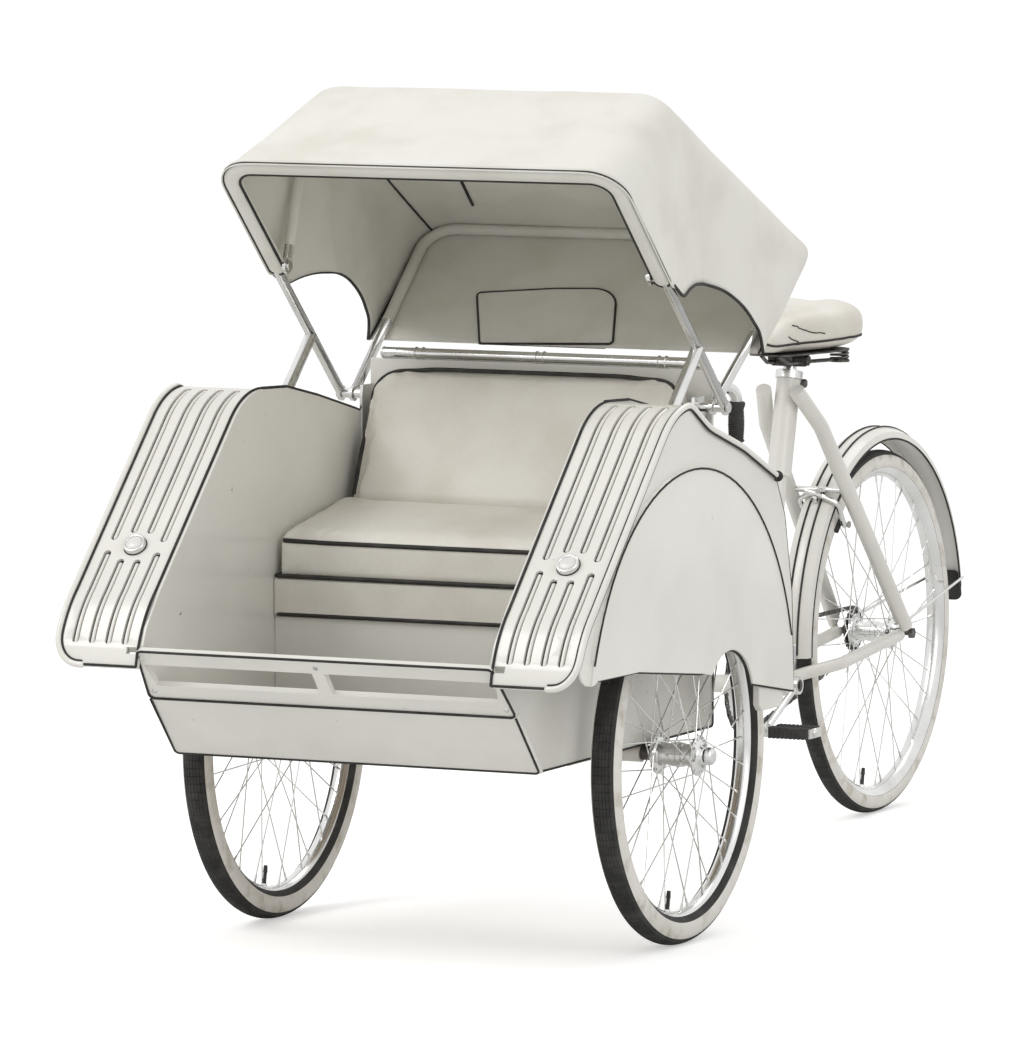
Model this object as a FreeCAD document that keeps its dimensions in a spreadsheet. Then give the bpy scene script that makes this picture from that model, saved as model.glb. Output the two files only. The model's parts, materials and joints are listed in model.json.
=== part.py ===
import FreeCAD, Part
import math
import os
from FreeCAD import Placement, Rotation, Vector
import Sketcher

os.makedirs("parts", exist_ok=True)
doc = FreeCAD.newDocument("CycleRickshaw")

# Driving sizes in millimetres and degrees. y runs aft from the front axle and z up from
# the floor while a piece is shaped; every piece is then placed by frontAxlePlace.
drivingSizes = {
    "frontAxlePlace": -782,
    # running gear
    "wheelbase": 1820, "frontTrackHalf": 395, "frontTyreRadius": 335, "frontTyreSection": 27,
    "rearTyreRadius": 355.5, "rearTyreSection": 22, "rimDepth": 17, "rimWidth": 34,
    "seatGap": 0.2, "turnGap": 0.05, "sideGap": 0.3, "spokeRadius": 1.3, "spokeCount": 36,
    "frontAxleRadius": 8, "frontHubHalf": 52, "frontHubRadius": 21, "frontFlangeRadius": 36,
    "rearAxleRadius": 5, "rearHubHalf": 52, "rearHubRadius": 19, "rearFlangeRadius": 33,
    "flangeInset": 11, "flangeThickness": 4, "nutLength": 9, "nutRadius": 12,
    # tub
    "wallInner": 330, "wallThickness": 8, "skirtOuter": 500, "skirtThickness": 5,
    "skirtRise": 5, "tabThickness": 14, "fenderThickness": 6, "bandThickness": 14, "grooveDepth": 6,
    "floorBottom": 352, "floorThickness": 12, "rearPanelFront": 272, "rearPanelThickness": 8,
    "rearPanelTop": 990, "frontPlateThickness": 12, "frontBarHalf": 360, "kickHalf": 350,
    "barSlotHeight": 0.44, "barSlotBorder": 26, "barPostHalf": 12,
    "seatFront": -140, "seatBaseInset": 6, "seatBaseTop": 560, "seatBaseWall": 15,
    "seatBoardTop": 629, "cushionFrontTop": 702, "cushionBackTop": 750, "cushionRound": 28,
    "backrestHalf": 318, "backrestThickness": 40, "backrestRound": 60, "softGap": 0.3,
    "railRadius": 10, "railHalf": 312, "barDrop": 45, "barAft": 385, "barHalf": 240,
    "gripAft": 465, "gripSide": 300, "barTubeRadius": 11, "gripDrop": 95, "gripRadius": 16,
    # chassis and steering
    "beamRadius": 17, "beamHalf": 325, "chassisTubeRadius": 14, "chassisTubeSide": 250,
    "kingpinPlace": 385, "kingpinRadius": 14, "headTubeRadius": 23, "headTubeLow": 372,
    "headTubeHigh": 560, "lugThickness": 18,
    # hood
    "hoodPivotAft": 237, "hoodPivotHeight": 927, "hoodPinRadius": 5, "hoodEyeRadius": 14,
    "hoodEyeThickness": 6, "bowTubeRadius": 9, "bowBend": 55,
    "rearBowFoot": 355, "rearBowHead": 377, "rearBowAngle": 37, "rearBowReach": 460,
    "frontBowSide": 379, "frontBowAngle": 137.3, "frontBowReach": 640,
    "midBowPlace": 365, "midBowFoot": 355, "midBowHead": 345, "midBowAngle": 74.4,
    "midBowReach": 317, "stayRadius": 11, "stayFootAft": 2, "stayReach": 168,
    "coverThickness": 4, "coverGap": 0.3, "coverEase": 2, "coverLow": 60, "hemReach": 345,
    "midBowBend": 75,
    # rear half
    "bottomBracketAft": 1305, "bottomBracketHeight": 305, "shellRadius": 21, "shellHalf": 34,
    "spindleRadius": 8.5, "crankLength": 165, "crankInner": 52, "crankThickness": 14,
    "pedalLength": 92, "pedalWidth": 62, "pedalThickness": 22, "pedalSpindleRadius": 6,
    "chainLine": 45, "chainPitch": 12.7, "ringTeeth": 46, "sprocketTeeth": 20,
    "ringThickness": 3, "chainWidth": 7, "chainHeight": 9, "crankTurn": 205,
    "backboneRadius": 22, "seatTubeRadius": 16, "seatSleeveRadius": 23, "downTubeRadius": 17,
    "seatStayRadius": 15, "chainStayRadius": 12, "dropoutSide": 66, "dropoutThickness": 6,
    "guardCrest": 400, "guardEdge": 377, "guardHalfWidth": 32, "guardThickness": 3,
    "guardRearAngle": 8, "guardFrontAngle": 182,
    "saddleHeight": 96, "saddleHalf": 105,
}

sizes = doc.addObject("Spreadsheet::Sheet", "Sizes")
for row, (alias, number) in enumerate(drivingSizes.items(), start=1):
    sizes.set(f"A{row}", alias)
    sizes.set(f"B{row}", str(number))
    sizes.setAlias(f"B{row}", alias)
doc.recompute()


class Size:
    """Reads one driving size from the sheet by its alias."""

    def __getattr__(self, alias):
        return float(sizes.get(alias))


s = Size()
X, Y, Z = Vector(1, 0, 0), Vector(0, 1, 0), Vector(0, 0, 1)
pieces = []


def keep(obj, label):
    """Names a finished piece after the node that it becomes."""
    obj.Label = label
    pieces.append(obj)
    return obj


def placed(name, shape):
    """Part::Feature holding a shape, moved from the front axle to the row's origin."""
    obj = doc.addObject("Part::Feature", name)
    obj.Shape = shape
    obj.Placement = Placement(at(0, s.frontAxlePlace, 0), Rotation()).multiply(obj.Placement)
    return obj


def feature(label, shape):
    """Keeps a shape made with Part's functions as a piece."""
    return keep(placed(label, shape), label)


def at(x, y, z):
    return Vector(x, y, z)


def rod(start, end, radius):
    """Solid round bar between two points."""
    return Part.makeCylinder(radius, (end - start).Length, start, end - start)


def crossRod(y, z, x0, x1, radius):
    """Round bar across the vehicle."""
    return rod(at(x0, y, z), at(x1, y, z), radius)


def bentPath(points, bend):
    """Wire through points, with each inner corner rounded to the bend radius."""
    edges = []
    start = points[0]
    for before, corner, after in zip(points, points[1:], points[2:]):
        back = (before - corner).normalize()
        ahead = (after - corner).normalize()
        half = back.getAngle(ahead) / 2
        run = bend / math.tan(half)
        first = corner + back * run
        last = corner + ahead * run
        middle = corner + (back + ahead).normalize() * (bend / math.sin(half) - bend)
        edges.append(Part.makeLine(start, first))
        edges.append(Part.Arc(first, middle, last).toShape())
        start = last
    edges.append(Part.makeLine(start, points[-1]))
    return Part.Wire(edges)


def bentRod(points, radius, bend):
    """Round bar bent along points."""
    path = bentPath(points, bend)
    along = points[1] - points[0]
    ring = Part.Wire([Part.makeCircle(radius, points[0], along)])
    return path.makePipeShell([ring], True, False)


def fuse(shapes):
    return shapes[0].fuse(shapes[1:]).removeSplitter()


def sideOutline(rows):
    """Closed wire in the side view. Each row is (y, z) for a straight run to that point, or
    (y via, z via, y, z) for an arc through the first point to the second."""
    edges = []
    here = at(0, *rows[0][-2:])
    first = here
    for row in rows[1:]:
        there = at(0, *row[-2:])
        if len(row) == 4:
            edges.append(Part.Arc(here, at(0, row[0], row[1]), there).toShape())
        else:
            edges.append(Part.makeLine(here, there))
        here = there
    if here.distanceToPoint(first) > 1e-6:
        edges.append(Part.makeLine(here, first))
    return Part.Wire(edges)


def plate(rows, x0, x1):
    """Flat plate: a side outline taken across from x0 to x1."""
    face = Part.Face(sideOutline(rows))
    face.translate(X * x0)
    return face.extrude(X * (x1 - x0))


def flat(v):
    """The (y, z) of a point in the side view."""
    return (v.y, v.z)


def mirrored(shape):
    return shape.mirror(at(0, 0, 0), X)


def pair(label, shape):
    """Keeps a left piece and its mirror image as two nodes."""
    return [feature(label + "_left", shape), feature(label + "_right", mirrored(shape))]


def offsetRun(start, end, depth):
    """The two points of a run moved square to it by depth, upwards and aft."""
    along = Vector(0, end[0] - start[0], end[1] - start[1]).normalize()
    inward = Vector(0, -along.z, along.y)
    return [(p[0] + inward.y * depth, p[1] + inward.z * depth) for p in (start, end)]


# Sketched pieces: each outline point is bound to the sheet by expressions.

def sketchPlate(name, corners, width, start):
    """Body padded across the vehicle from a side-view polygon of pairs of expressions."""
    body, sketch = sketchBody(name, "YZ_Plane")
    drawPolygon(sketch, corners)
    pad = body.newObject("PartDesign::Pad", name + "Pad")
    pad.Profile = sketch
    pad.setExpression("Length", width)
    body.setExpression("Placement.Base.x", start)
    body.setExpression("Placement.Base.y", "Sizes.frontAxlePlace")
    doc.recompute()
    return body


def sketchBody(name, plane):
    """Empty body and its first sketch, set on one of the body's planes."""
    body = doc.addObject("PartDesign::Body", name)
    sketch = body.newObject("Sketcher::SketchObject", name + "Outline")
    support = [f for f in body.Origin.OriginFeatures if f.Role == plane][0]
    sketch.AttachmentSupport = [(support, "")]
    sketch.MapMode = "FlatFace"
    return body, sketch


def drawPolygon(sketch, corners):
    """Lines through corners given as expressions, each corner bound to them."""
    values = [at(evaluate(a), evaluate(b), 0) for a, b in corners]
    count = len(corners)
    offset = len(sketch.Geometry)
    for i in range(count):
        sketch.addGeometry(Part.LineSegment(values[i], values[(i + 1) % count]))
    for i in range(count):
        following = (i + 1) % count
        sketch.addConstraint(Sketcher.Constraint("Coincident", offset + i, 2, offset + following, 1))
    for i, (across, upward) in enumerate(corners):
        for kind, expression, number in (("DistanceX", across, values[i].x),
                                         ("DistanceY", upward, values[i].y)):
            bound = sketch.addConstraint(
                Sketcher.Constraint(kind, -1, 1, offset + i, 1, number))
            sketch.setExpression(f"Constraints[{bound}]", expression)


def evaluate(expression):
    """Value of an expression over the sheet."""
    return float(sizes.evalExpression(expression.replace("Sizes.", "")))


# Box primitives bound to the sheet.

def boundBox(name, low, high):
    """Part::Box between two corners given as expressions."""
    box = doc.addObject("Part::Box", name)
    for side, axis, start, end in zip(("Length", "Width", "Height"), "xyz", low, high):
        box.setExpression(side, f"({end}) - ({start})")
        shift = " + Sizes.frontAxlePlace" if axis == "y" else ""
        box.setExpression("Placement.Base." + axis, start + shift)
    return box


def boundRod(name, radius, x0, x1, y, z):
    """Part::Cylinder across the vehicle, with its sizes given as expressions."""
    bar = doc.addObject("Part::Cylinder", name)
    bar.Placement = Placement(at(0, 0, 0), Rotation(Y, 90))
    bar.setExpression("Radius", radius)
    bar.setExpression("Height", f"({x1}) - ({x0})")
    for axis, expression in zip("xyz", (x0, f"{y} + Sizes.frontAxlePlace", z)):
        bar.setExpression("Placement.Base." + axis, expression)
    return bar


def boolean(kind, name, base, tool):
    result = doc.addObject(kind, name)
    result.Base = base
    result.Tool = tool
    return result


# ---------------------------------------------------------------- wheels

def makeTyre(label, radius, section, x, y):
    """Tyre turned about its axle from a six-sided section, seated on a flat rim bed."""
    bed = f"{radius} - {section} * 1.55 + Sizes.seatGap"
    corners = [
        # across, radius
        (f"-{section} * 0.7", bed), (f"{section} * 0.7", bed),
        (section, f"{radius} - {section} * 0.7"), (f"{section} * 0.55", radius),
        (f"-{section} * 0.55", radius), (f"-{section}", f"{radius} - {section} * 0.7"),
    ]
    body, sketch = sketchBody(label, "XZ_Plane")
    drawPolygon(sketch, corners)
    turn = body.newObject("PartDesign::Revolution", label + "Turn")
    turn.Profile = sketch
    turn.ReferenceAxis = (sketch, ["H_Axis"])
    turn.Angle = 360
    for axis, expression in zip("xyz", (x, f"{y} + Sizes.frontAxlePlace", radius)):
        body.setExpression("Placement.Base." + axis, expression)
    doc.recompute()
    return keep(body, label)


def makeWheel(x, y, tyreRadius, section, hub):
    """Rim, laced spokes and hub as one solid."""
    bed = tyreRadius - section * 1.55
    low = bed - s.rimDepth
    half = s.rimWidth / 2
    rimRows = [(-half, bed), (half, bed), (half * 0.75, low + 4), (half * 0.3, low),
               (-half * 0.3, low), (-half * 0.75, low + 4)]
    rim = turned(rimRows)
    flange = hub["half"] - s.flangeInset
    inner = flange - s.flangeThickness
    hubRows = [(-hub["half"], hub["bore"]), (hub["half"], hub["bore"]),
               (hub["half"], hub["radius"] * 0.7), (flange, hub["radius"] * 0.8),
               (flange, hub["flange"]), (inner, hub["flange"]), (inner, hub["radius"]),
               (-inner, hub["radius"]), (-inner, hub["flange"]), (-flange, hub["flange"]),
               (-flange, hub["radius"] * 0.8), (-hub["half"], hub["radius"] * 0.7)]
    shapes = [rim, turned(hubRows)]
    count = int(s.spokeCount)
    lace = 360 / count * 6.0
    for number in range(count):
        side = 1 if number % 2 else -1
        lean = 1 if (number // 2) % 2 else -1
        rimTurn = math.radians(number * 360 / count)
        hubTurn = rimTurn + math.radians(lean * lace)
        pierce = hub["flange"] - 4
        head = at(side * (flange - s.flangeThickness / 2 + lean * 1.2),
                  pierce * math.cos(hubTurn), pierce * math.sin(hubTurn))
        seat = at(side * half * 0.25, (low + 3) * math.cos(rimTurn), (low + 3) * math.sin(rimTurn))
        shapes.append(rod(head, seat, s.spokeRadius))
    wheel = shapes[0].fuse(shapes[1:])
    wheel.translate(at(x, y, tyreRadius))
    return wheel


def turned(rows):
    """Solid turned about the x axis from (x, radius) rows."""
    face = Part.Face(Part.makePolygon([at(x, 0, r) for x, r in rows + rows[:1]]))
    return face.revolve(at(0, 0, 0), X, 360)


frontHub = {"half": s.frontHubHalf, "radius": s.frontHubRadius, "flange": s.frontFlangeRadius,
            "bore": s.frontAxleRadius + s.turnGap}
rearHub = {"half": s.rearHubHalf, "radius": s.rearHubRadius, "flange": s.rearFlangeRadius,
           "bore": s.rearAxleRadius + s.turnGap}

for side, sign in (("left", ""), ("right", "-")):
    makeTyre(f"front_tyre_{side}", "Sizes.frontTyreRadius", "Sizes.frontTyreSection",
             f"{sign}Sizes.frontTrackHalf", "0")
    place = s.frontTrackHalf if side == "left" else -s.frontTrackHalf
    feature(f"front_wheel_{side}",
            makeWheel(place, 0, s.frontTyreRadius, s.frontTyreSection, frontHub))
makeTyre("rear_tyre", "Sizes.rearTyreRadius", "Sizes.rearTyreSection", "0", "Sizes.wheelbase")
feature("rear_wheel", makeWheel(0, s.wheelbase, s.rearTyreRadius, s.rearTyreSection, rearHub))

# ---------------------------------------------------------------- front axle and chassis

axleHeight = s.frontTyreRadius
hubOuter = s.frontTrackHalf + s.frontHubHalf
axleEnd = hubOuter + s.sideGap + s.nutLength
hubInner = s.frontTrackHalf - s.frontHubHalf
shoulder = hubInner - s.sideGap

axleBar = fuse([
    crossRod(0, axleHeight, -axleEnd, axleEnd, s.frontAxleRadius),
    crossRod(0, axleHeight, s.beamHalf + s.sideGap, shoulder, s.frontAxleRadius + 5),
    crossRod(0, axleHeight, -shoulder, -s.beamHalf - s.sideGap, s.frontAxleRadius + 5)])
feature("front_axle", axleBar)


def hexNut(x0, x1, y, z, radius, bore):
    """Six-sided nut across the vehicle."""
    corners = [at(x0, y + radius * math.cos(math.radians(60 * i)),
                  z + radius * math.sin(math.radians(60 * i))) for i in range(7)]
    nut = Part.Face(Part.makePolygon(corners)).extrude(X * (x1 - x0))
    return nut.cut(crossRod(y, z, min(x0, x1) - 1, max(x0, x1) + 1, bore))


nuts = []
for sign in (1, -1):
    nuts.append(hexNut(sign * (hubOuter + s.sideGap), sign * axleEnd, 0, axleHeight,
                       s.nutRadius, s.frontAxleRadius + s.seatGap))
feature("front_axle_nuts", Part.makeCompound(nuts))

chassisHeight = s.floorBottom - s.chassisTubeRadius - s.seatGap
crossAft = s.rearPanelFront - 20
lowLugTop = s.headTubeLow - s.sideGap
railStart = -150
chassis = [crossRod(0, axleHeight, -s.beamHalf, s.beamHalf, s.beamRadius)]
railSide = s.chassisTubeSide
chassis.append(bentRod([at(railSide, railStart, chassisHeight), at(railSide, crossAft, chassisHeight),
                        at(-railSide, crossAft, chassisHeight),
                        at(-railSide, railStart, chassisHeight)], s.chassisTubeRadius, 60))
chassis.append(rod(at(0, crossAft, chassisHeight),
                   at(0, s.kingpinPlace, chassisHeight), s.chassisTubeRadius - 2))
chassis.append(Part.makeCylinder(26, lowLugTop - (chassisHeight - s.chassisTubeRadius),
                                 at(0, s.kingpinPlace, chassisHeight - s.chassisTubeRadius)))
chassisShape = fuse(chassis)
chassisShape = chassisShape.cut(crossRod(0, axleHeight, -s.beamHalf, s.beamHalf,
                                         s.frontAxleRadius + s.seatGap))
chassisShape = chassisShape.cut(Part.makeCylinder(
    s.kingpinRadius + s.seatGap, 200, at(0, s.kingpinPlace, lowLugTop - 100)))
feature("chassis_frame", chassisShape)

# The kingpin stands in the chassis lug and is held at its top by a bracket on the tub.
highLugBottom = s.headTubeHigh + s.sideGap
highLugTop = highLugBottom + s.lugThickness
kingpin = Part.makeCylinder(s.kingpinRadius, highLugTop - chassisHeight + 24,
                            at(0, s.kingpinPlace, chassisHeight - 12))
kingpin = kingpin.fuse(Part.makeCylinder(s.kingpinRadius + 7, 10,
                                         at(0, s.kingpinPlace, highLugTop + s.seatGap)))
feature("kingpin", kingpin.removeSplitter())
panelBack = s.rearPanelFront + s.rearPanelThickness
arm = Part.makeBox(60, s.kingpinPlace - panelBack, s.lugThickness,
                   at(-30, panelBack, highLugBottom))
arm = arm.fuse(Part.makeCylinder(30, s.lugThickness, at(0, s.kingpinPlace, highLugBottom)))
arm = arm.fuse(Part.makeBox(140, 6, 90, at(-70, panelBack, highLugBottom - 36)))
arm = arm.cut(Part.makeCylinder(s.kingpinRadius + s.seatGap, 60,
                                at(0, s.kingpinPlace, highLugBottom - 20)))
feature("kingpin_bracket", arm.removeSplitter())

# ---------------------------------------------------------------- tub

# Front strip of the fender in the side view: foot, lower bow, slope and upper bow.
foot, footBow, slopeLow, slopeHigh = (-652, 520), (-626, 587), (-578, 643), (-289, 921)
upperBow, crown = (-238, 954), (-178, 966)
barTop, barLow, kickLow = (-650, 547), (-575, 459), (-480, 352)
innerTop = [(-80, 962), (44, 938), (200, 902)]
outerTop = [(-106, 922), (44, 875), (195, 812)]
outerRear = [(236, 740), (268, 600)]
innerRear = [(254, 800), (270, 600)]
skirtRear = (278, 424)

barInner = offsetRun(barTop, barLow, s.frontPlateThickness)
kickInner = offsetRun(barLow, kickLow, s.frontPlateThickness)
floorTop = s.floorBottom + s.floorThickness


def meet(a, b, c, d):
    """Crossing point of the lines a-b and c-d in the side view."""
    r = (b[0] - a[0], b[1] - a[1])
    q = (d[0] - c[0], d[1] - c[1])
    k = ((c[0] - a[0]) * q[1] - (c[1] - a[1]) * q[0]) / (r[0] * q[1] - r[1] * q[0])
    return (a[0] + r[0] * k, a[1] + r[1] * k)


frontInnerCorner = meet(*barInner, *kickInner)
kickInnerFoot = meet(*kickInner, (-900, s.floorBottom), (0, s.floorBottom))
wallRows = [kickInnerFoot, frontInnerCorner, barInner[0], footBow, slopeLow, slopeHigh,
            (*upperBow, *crown), *innerTop, (s.rearPanelFront, 880),
            (s.rearPanelFront, s.floorBottom)]
wall = plate(wallRows, s.wallInner, s.wallInner + s.wallThickness)
pair("side_wall", wall)

# The floor lies between the walls on the axle beam and the chassis rails.
doc.recompute()
floorBox = boundBox("FloorBlank", ("-Sizes.wallInner", str(kickInnerFoot[0]), "Sizes.floorBottom"),
                    ("Sizes.wallInner", "Sizes.rearPanelFront",
                     "Sizes.floorBottom + Sizes.floorThickness"))
wedge = placed("FloorFrontCut", plate([kickInnerFoot, (kickInnerFoot[0] - 40, kickInnerFoot[1] + 0.001),
                     meet(*kickInner, (-900, floorTop + 40), (0, floorTop + 40))],
                    -s.wallInner - 5, s.wallInner + 5))
keep(boolean("Part::Cut", "FloorPan", floorBox, wedge), "floor_pan")

# Slotted front bar over the sloped kick panel.
barRows = [barTop, barLow, frontInnerCorner, barInner[0]]
bar = plate(barRows, -s.frontBarHalf, s.frontBarHalf)
runBar = Vector(0, barLow[0] - barTop[0], barLow[1] - barTop[1])
slotHeight = runBar.Length * s.barSlotHeight
middle = at(0, (barTop[0] + barLow[0]) / 2, (barTop[1] + barLow[1]) / 2)
down = Vector(runBar).normalize()
outward = Vector(0, down.z, -down.y)
for sign in (1, -1):
    inner = sign * s.barPostHalf
    outerHigh = sign * (s.frontBarHalf - s.barSlotBorder)
    outerLow = sign * (s.frontBarHalf - s.barSlotBorder * 1.3)
    rows = [(inner, -slotHeight / 2), (outerHigh, -slotHeight / 2), (outerLow, slotHeight / 2),
            (inner, slotHeight / 2)]
    corners = [at(x, 0, 0) + down * run + middle + outward * 30 for x, run in rows]
    slot = Part.Face(Part.makePolygon(corners + corners[:1])).extrude(outward * -80)
    bar = bar.cut(slot)
feature("front_bar", bar)
kickCorners = [(str(y), str(z)) for y, z in (barLow, kickLow, kickInnerFoot, frontInnerCorner)]
keep(sketchPlate("KickPanel", kickCorners, "Sizes.kickHalf * 2", "-Sizes.kickHalf"), "kick_panel")

# Fender: front strip with grooves and a boss, top and rear sheet, and outer skirt.
bandInner = s.wallInner + s.wallThickness
bandOuter = s.skirtOuter - s.skirtRise - s.skirtThickness


def inset(points, depth):
    """Moves an open run of side-view points towards the wheel by depth."""
    moved = []
    for i, p in enumerate(points):
        before = points[max(i - 1, 0)]
        after = points[min(i + 1, len(points) - 1)]
        along = Vector(0, after[0] - before[0], after[1] - before[1]).normalize()
        moved.append((p[0] + along.z * depth, p[1] - along.y * depth))
    return moved


bandRun = [foot, footBow, slopeLow, slopeHigh, upperBow, crown]
bandBack = inset(bandRun, s.bandThickness)
bandRows = [foot, (*footBow, *slopeLow), slopeHigh, (*upperBow, *crown), bandBack[5],
            (*bandBack[4], *bandBack[3]), bandBack[2], (*bandBack[1], *bandBack[0])]
band = plate(bandRows, bandInner, bandOuter).cut(bar)
corner, cornerSlack = 50, 3
cornerSide, cornerHeight = bandOuter + cornerSlack - corner, foot[1] - cornerSlack + corner
roundTool = Part.makeBox(corner + 2, 200, corner + 60, at(cornerSide, -700, cornerHeight - corner - 60))
roundTool = roundTool.cut(Part.makeCylinder(corner, 220, at(cornerSide, -710, cornerHeight), Y))
band = band.cut(roundTool)

slopeDown = Vector(0, slopeLow[0] - slopeHigh[0], slopeLow[1] - slopeHigh[1])
slopeLength = slopeDown.Length
slopeDown.normalize()
slopeOut = Vector(0, slopeDown.z, -slopeDown.y)
bandMiddle = (bandInner + bandOuter) / 2
bossRun = slopeLength * 0.746
bossPlace = at(bandMiddle, *slopeHigh) + slopeDown * bossRun
bossRadius, bossGap, grooveWidth, groovePitch = 20, 10, 14, 32
grooveTop, grooveFoot = -92, slopeLength + 105
grooveFloor = inset(bandRun, s.grooveDepth)
grooveRoof = inset(bandRun, -6)
grooveZone = plate([grooveRoof[0], (*grooveRoof[1], *grooveRoof[2]), grooveRoof[3],
                    (*grooveRoof[4], *grooveRoof[5]), grooveFloor[5],
                    (*grooveFloor[4], *grooveFloor[3]), grooveFloor[2],
                    (*grooveFloor[1], *grooveFloor[0])], bandInner - 1, bandOuter + 1)


def groove(x, start, end):
    """Round-ended prism square to the slope; start and end are runs down the slope."""
    half = grooveWidth / 2
    high, low = (at(x, *slopeHigh) + slopeDown * (run + edge) + slopeOut * 90
                 for run, edge in ((start, half), (end, -half)))
    side = X * half
    rim = Part.Wire([Part.makeLine(high + side, low + side),
                     Part.Arc(low + side, low + slopeDown * half, low - side).toShape(),
                     Part.makeLine(low - side, high - side),
                     Part.Arc(high - side, high - slopeDown * half, high + side).toShape()])
    return Part.Face(rim).extrude(slopeOut * -260).common(grooveZone)


for column in (-1.5, -0.5, 0.5, 1.5):
    clear = bossRadius + bossGap if abs(column) < 1 else 12
    x = bandMiddle + column * groovePitch
    band = band.cut(groove(x, grooveTop, bossRun - clear))
    band = band.cut(groove(x, bossRun + clear, grooveFoot))
boss = Part.makeCylinder(bossRadius, 7 + s.bandThickness / 2,
                         bossPlace - slopeOut * (s.bandThickness / 2), slopeOut)
band = band.fuse(boss).removeSplitter()
pair("fender_front", band)


def ruledSheet(innerPoints, outerPoints, x0, x1, depth):
    """Sheet bent over two side-view runs, one at x0 and one at x1."""
    sections = []
    for x, run in ((x0, innerPoints), (x1, outerPoints)):
        back = inset(run, depth)
        loop = run + back[::-1]
        sections.append(Part.makePolygon([at(x, *p) for p in loop + loop[:1]]))
    return Part.makeLoft(sections, True, True)


topInner = [crown] + innerTop + innerRear
topOuter = [crown] + outerTop + outerRear
sheet = ruledSheet(topInner, topOuter, bandInner, bandOuter, s.fenderThickness)
sheet = sheet.cut(plate(bandRows, bandInner - 1, bandOuter + 1))
pair("fender_top", sheet)

skirtX = s.skirtOuter - s.skirtRise
skirtRows = [(-570, 528), (-622, 532, -637, 566), slopeLow, slopeHigh,
             (*upperBow, *crown), *outerTop, *outerRear, skirtRear, (93, 455), (-124, 495),
             (-399, 526)]
skirt = plate(skirtRows, skirtX - s.skirtThickness, skirtX)
archCentre, archRadius = (-170, 420), 437
notchCentre, notchRadius = (-12, 420), 105
arch = plate(skirtRows, skirtX, s.skirtOuter).common(
    crossRod(*archCentre, skirtX - 1, s.skirtOuter + 1, archRadius))
skirt = skirt.fuse(arch).cut(crossRod(*notchCentre, skirtX - 20, s.skirtOuter + 5, notchRadius))
pair("fender_skirt", skirt.removeSplitter())

tabCorners = [("137", "470"), ("137", "412"), ("150", "400"), ("232", "400"), ("244", "412"),
              ("244", "440")]
skirtInner = "(Sizes.skirtOuter - Sizes.skirtRise - Sizes.skirtThickness)"
for side, start in (("left", skirtInner + " - Sizes.tabThickness"), ("right", "-" + skirtInner)):
    keep(sketchPlate(f"SkirtBracket{side.title()}", tabCorners, "Sizes.tabThickness", start),
         f"skirt_bracket_{side}")

# Back panel, seat box, seat board and cushions.
panel = boundBox("RearPanelBlank", ("-Sizes.wallInner - Sizes.wallThickness", "Sizes.rearPanelFront",
                                    "Sizes.floorBottom"),
                 ("Sizes.wallInner + Sizes.wallThickness",
                  "Sizes.rearPanelFront + Sizes.rearPanelThickness", "Sizes.rearPanelTop"))
keep(panel, "rear_panel")

base = boundBox("SeatBoxBlank", ("-Sizes.wallInner", "Sizes.seatFront + Sizes.seatBaseInset",
                                 "Sizes.floorBottom + Sizes.floorThickness"),
                ("Sizes.wallInner", "Sizes.rearPanelFront", "Sizes.seatBaseTop"))
hollow = boundBox("SeatBoxHollow", ("-Sizes.wallInner + Sizes.seatBaseWall",
                                    "Sizes.seatFront + Sizes.seatBaseInset + Sizes.seatBaseWall",
                                    "Sizes.floorBottom"),
                  ("Sizes.wallInner - Sizes.seatBaseWall",
                   "Sizes.rearPanelFront - Sizes.seatBaseWall",
                   "Sizes.seatBaseTop - Sizes.seatBaseWall"))
keep(boolean("Part::Cut", "SeatBox", base, hollow), "seat_box")
board = boundBox("SeatBoard", ("-Sizes.wallInner", "Sizes.seatFront", "Sizes.seatBaseTop"),
                 ("Sizes.wallInner", "Sizes.rearPanelFront", "Sizes.seatBoardTop"))
keep(board, "seat_board")

cushionBase = s.seatBoardTop + s.softGap
cushionSide = s.wallInner - s.softGap
backFoot, backHead = (130, 754), (232, s.rearPanelTop - 4)
backRear = offsetRun(backHead, backFoot, s.backrestThickness)
cushionAft = backFoot[0] - s.softGap
cushion = plate([(s.seatFront, cushionBase), (s.seatFront, s.cushionFrontTop),
                 (-40, s.cushionFrontTop + 28, cushionAft, s.cushionBackTop),
                 (cushionAft, cushionBase)], -cushionSide, cushionSide)
front = [e for e in cushion.Edges if e.BoundBox.YMax < s.seatFront + 1
         and e.BoundBox.ZMin > s.cushionFrontTop - 1]
cushion = cushion.makeFillet(s.cushionRound, front)
feature("seat_cushion", cushion)
backrest = plate([(backFoot[0], cushionBase), backFoot, backHead, backRear[0], backRear[1],
                  (backRear[1][0], cushionBase)], -s.backrestHalf, s.backrestHalf)
top = [e for e in backrest.Edges if abs(e.BoundBox.XMax - e.BoundBox.XMin) < 1
       and e.BoundBox.ZMin > 900]
backrest = backrest.makeFillet(s.backrestRound, top)
feature("backrest_cushion", backrest)

keep(boundRod("BackRail", "Sizes.railRadius", "-Sizes.railHalf", "Sizes.railHalf",
              "Sizes.rearPanelFront + Sizes.rearPanelThickness / 2",
              "Sizes.rearPanelTop + Sizes.railRadius + Sizes.seatGap"), "back_rail")

# ---------------------------------------------------------------- hood

pivot = (s.hoodPivotAft, s.hoodPivotHeight)
eyeHalf = s.hoodEyeThickness / 2
bracketInner = s.wallInner - 6


def onBow(angle, reach, x=0.0, foot=pivot):
    """Point on a bow's plane, reach away from the pin that it turns on."""
    turn = math.radians(angle)
    return at(x, foot[0] + reach * math.cos(turn), foot[1] + reach * math.sin(turn))


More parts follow.
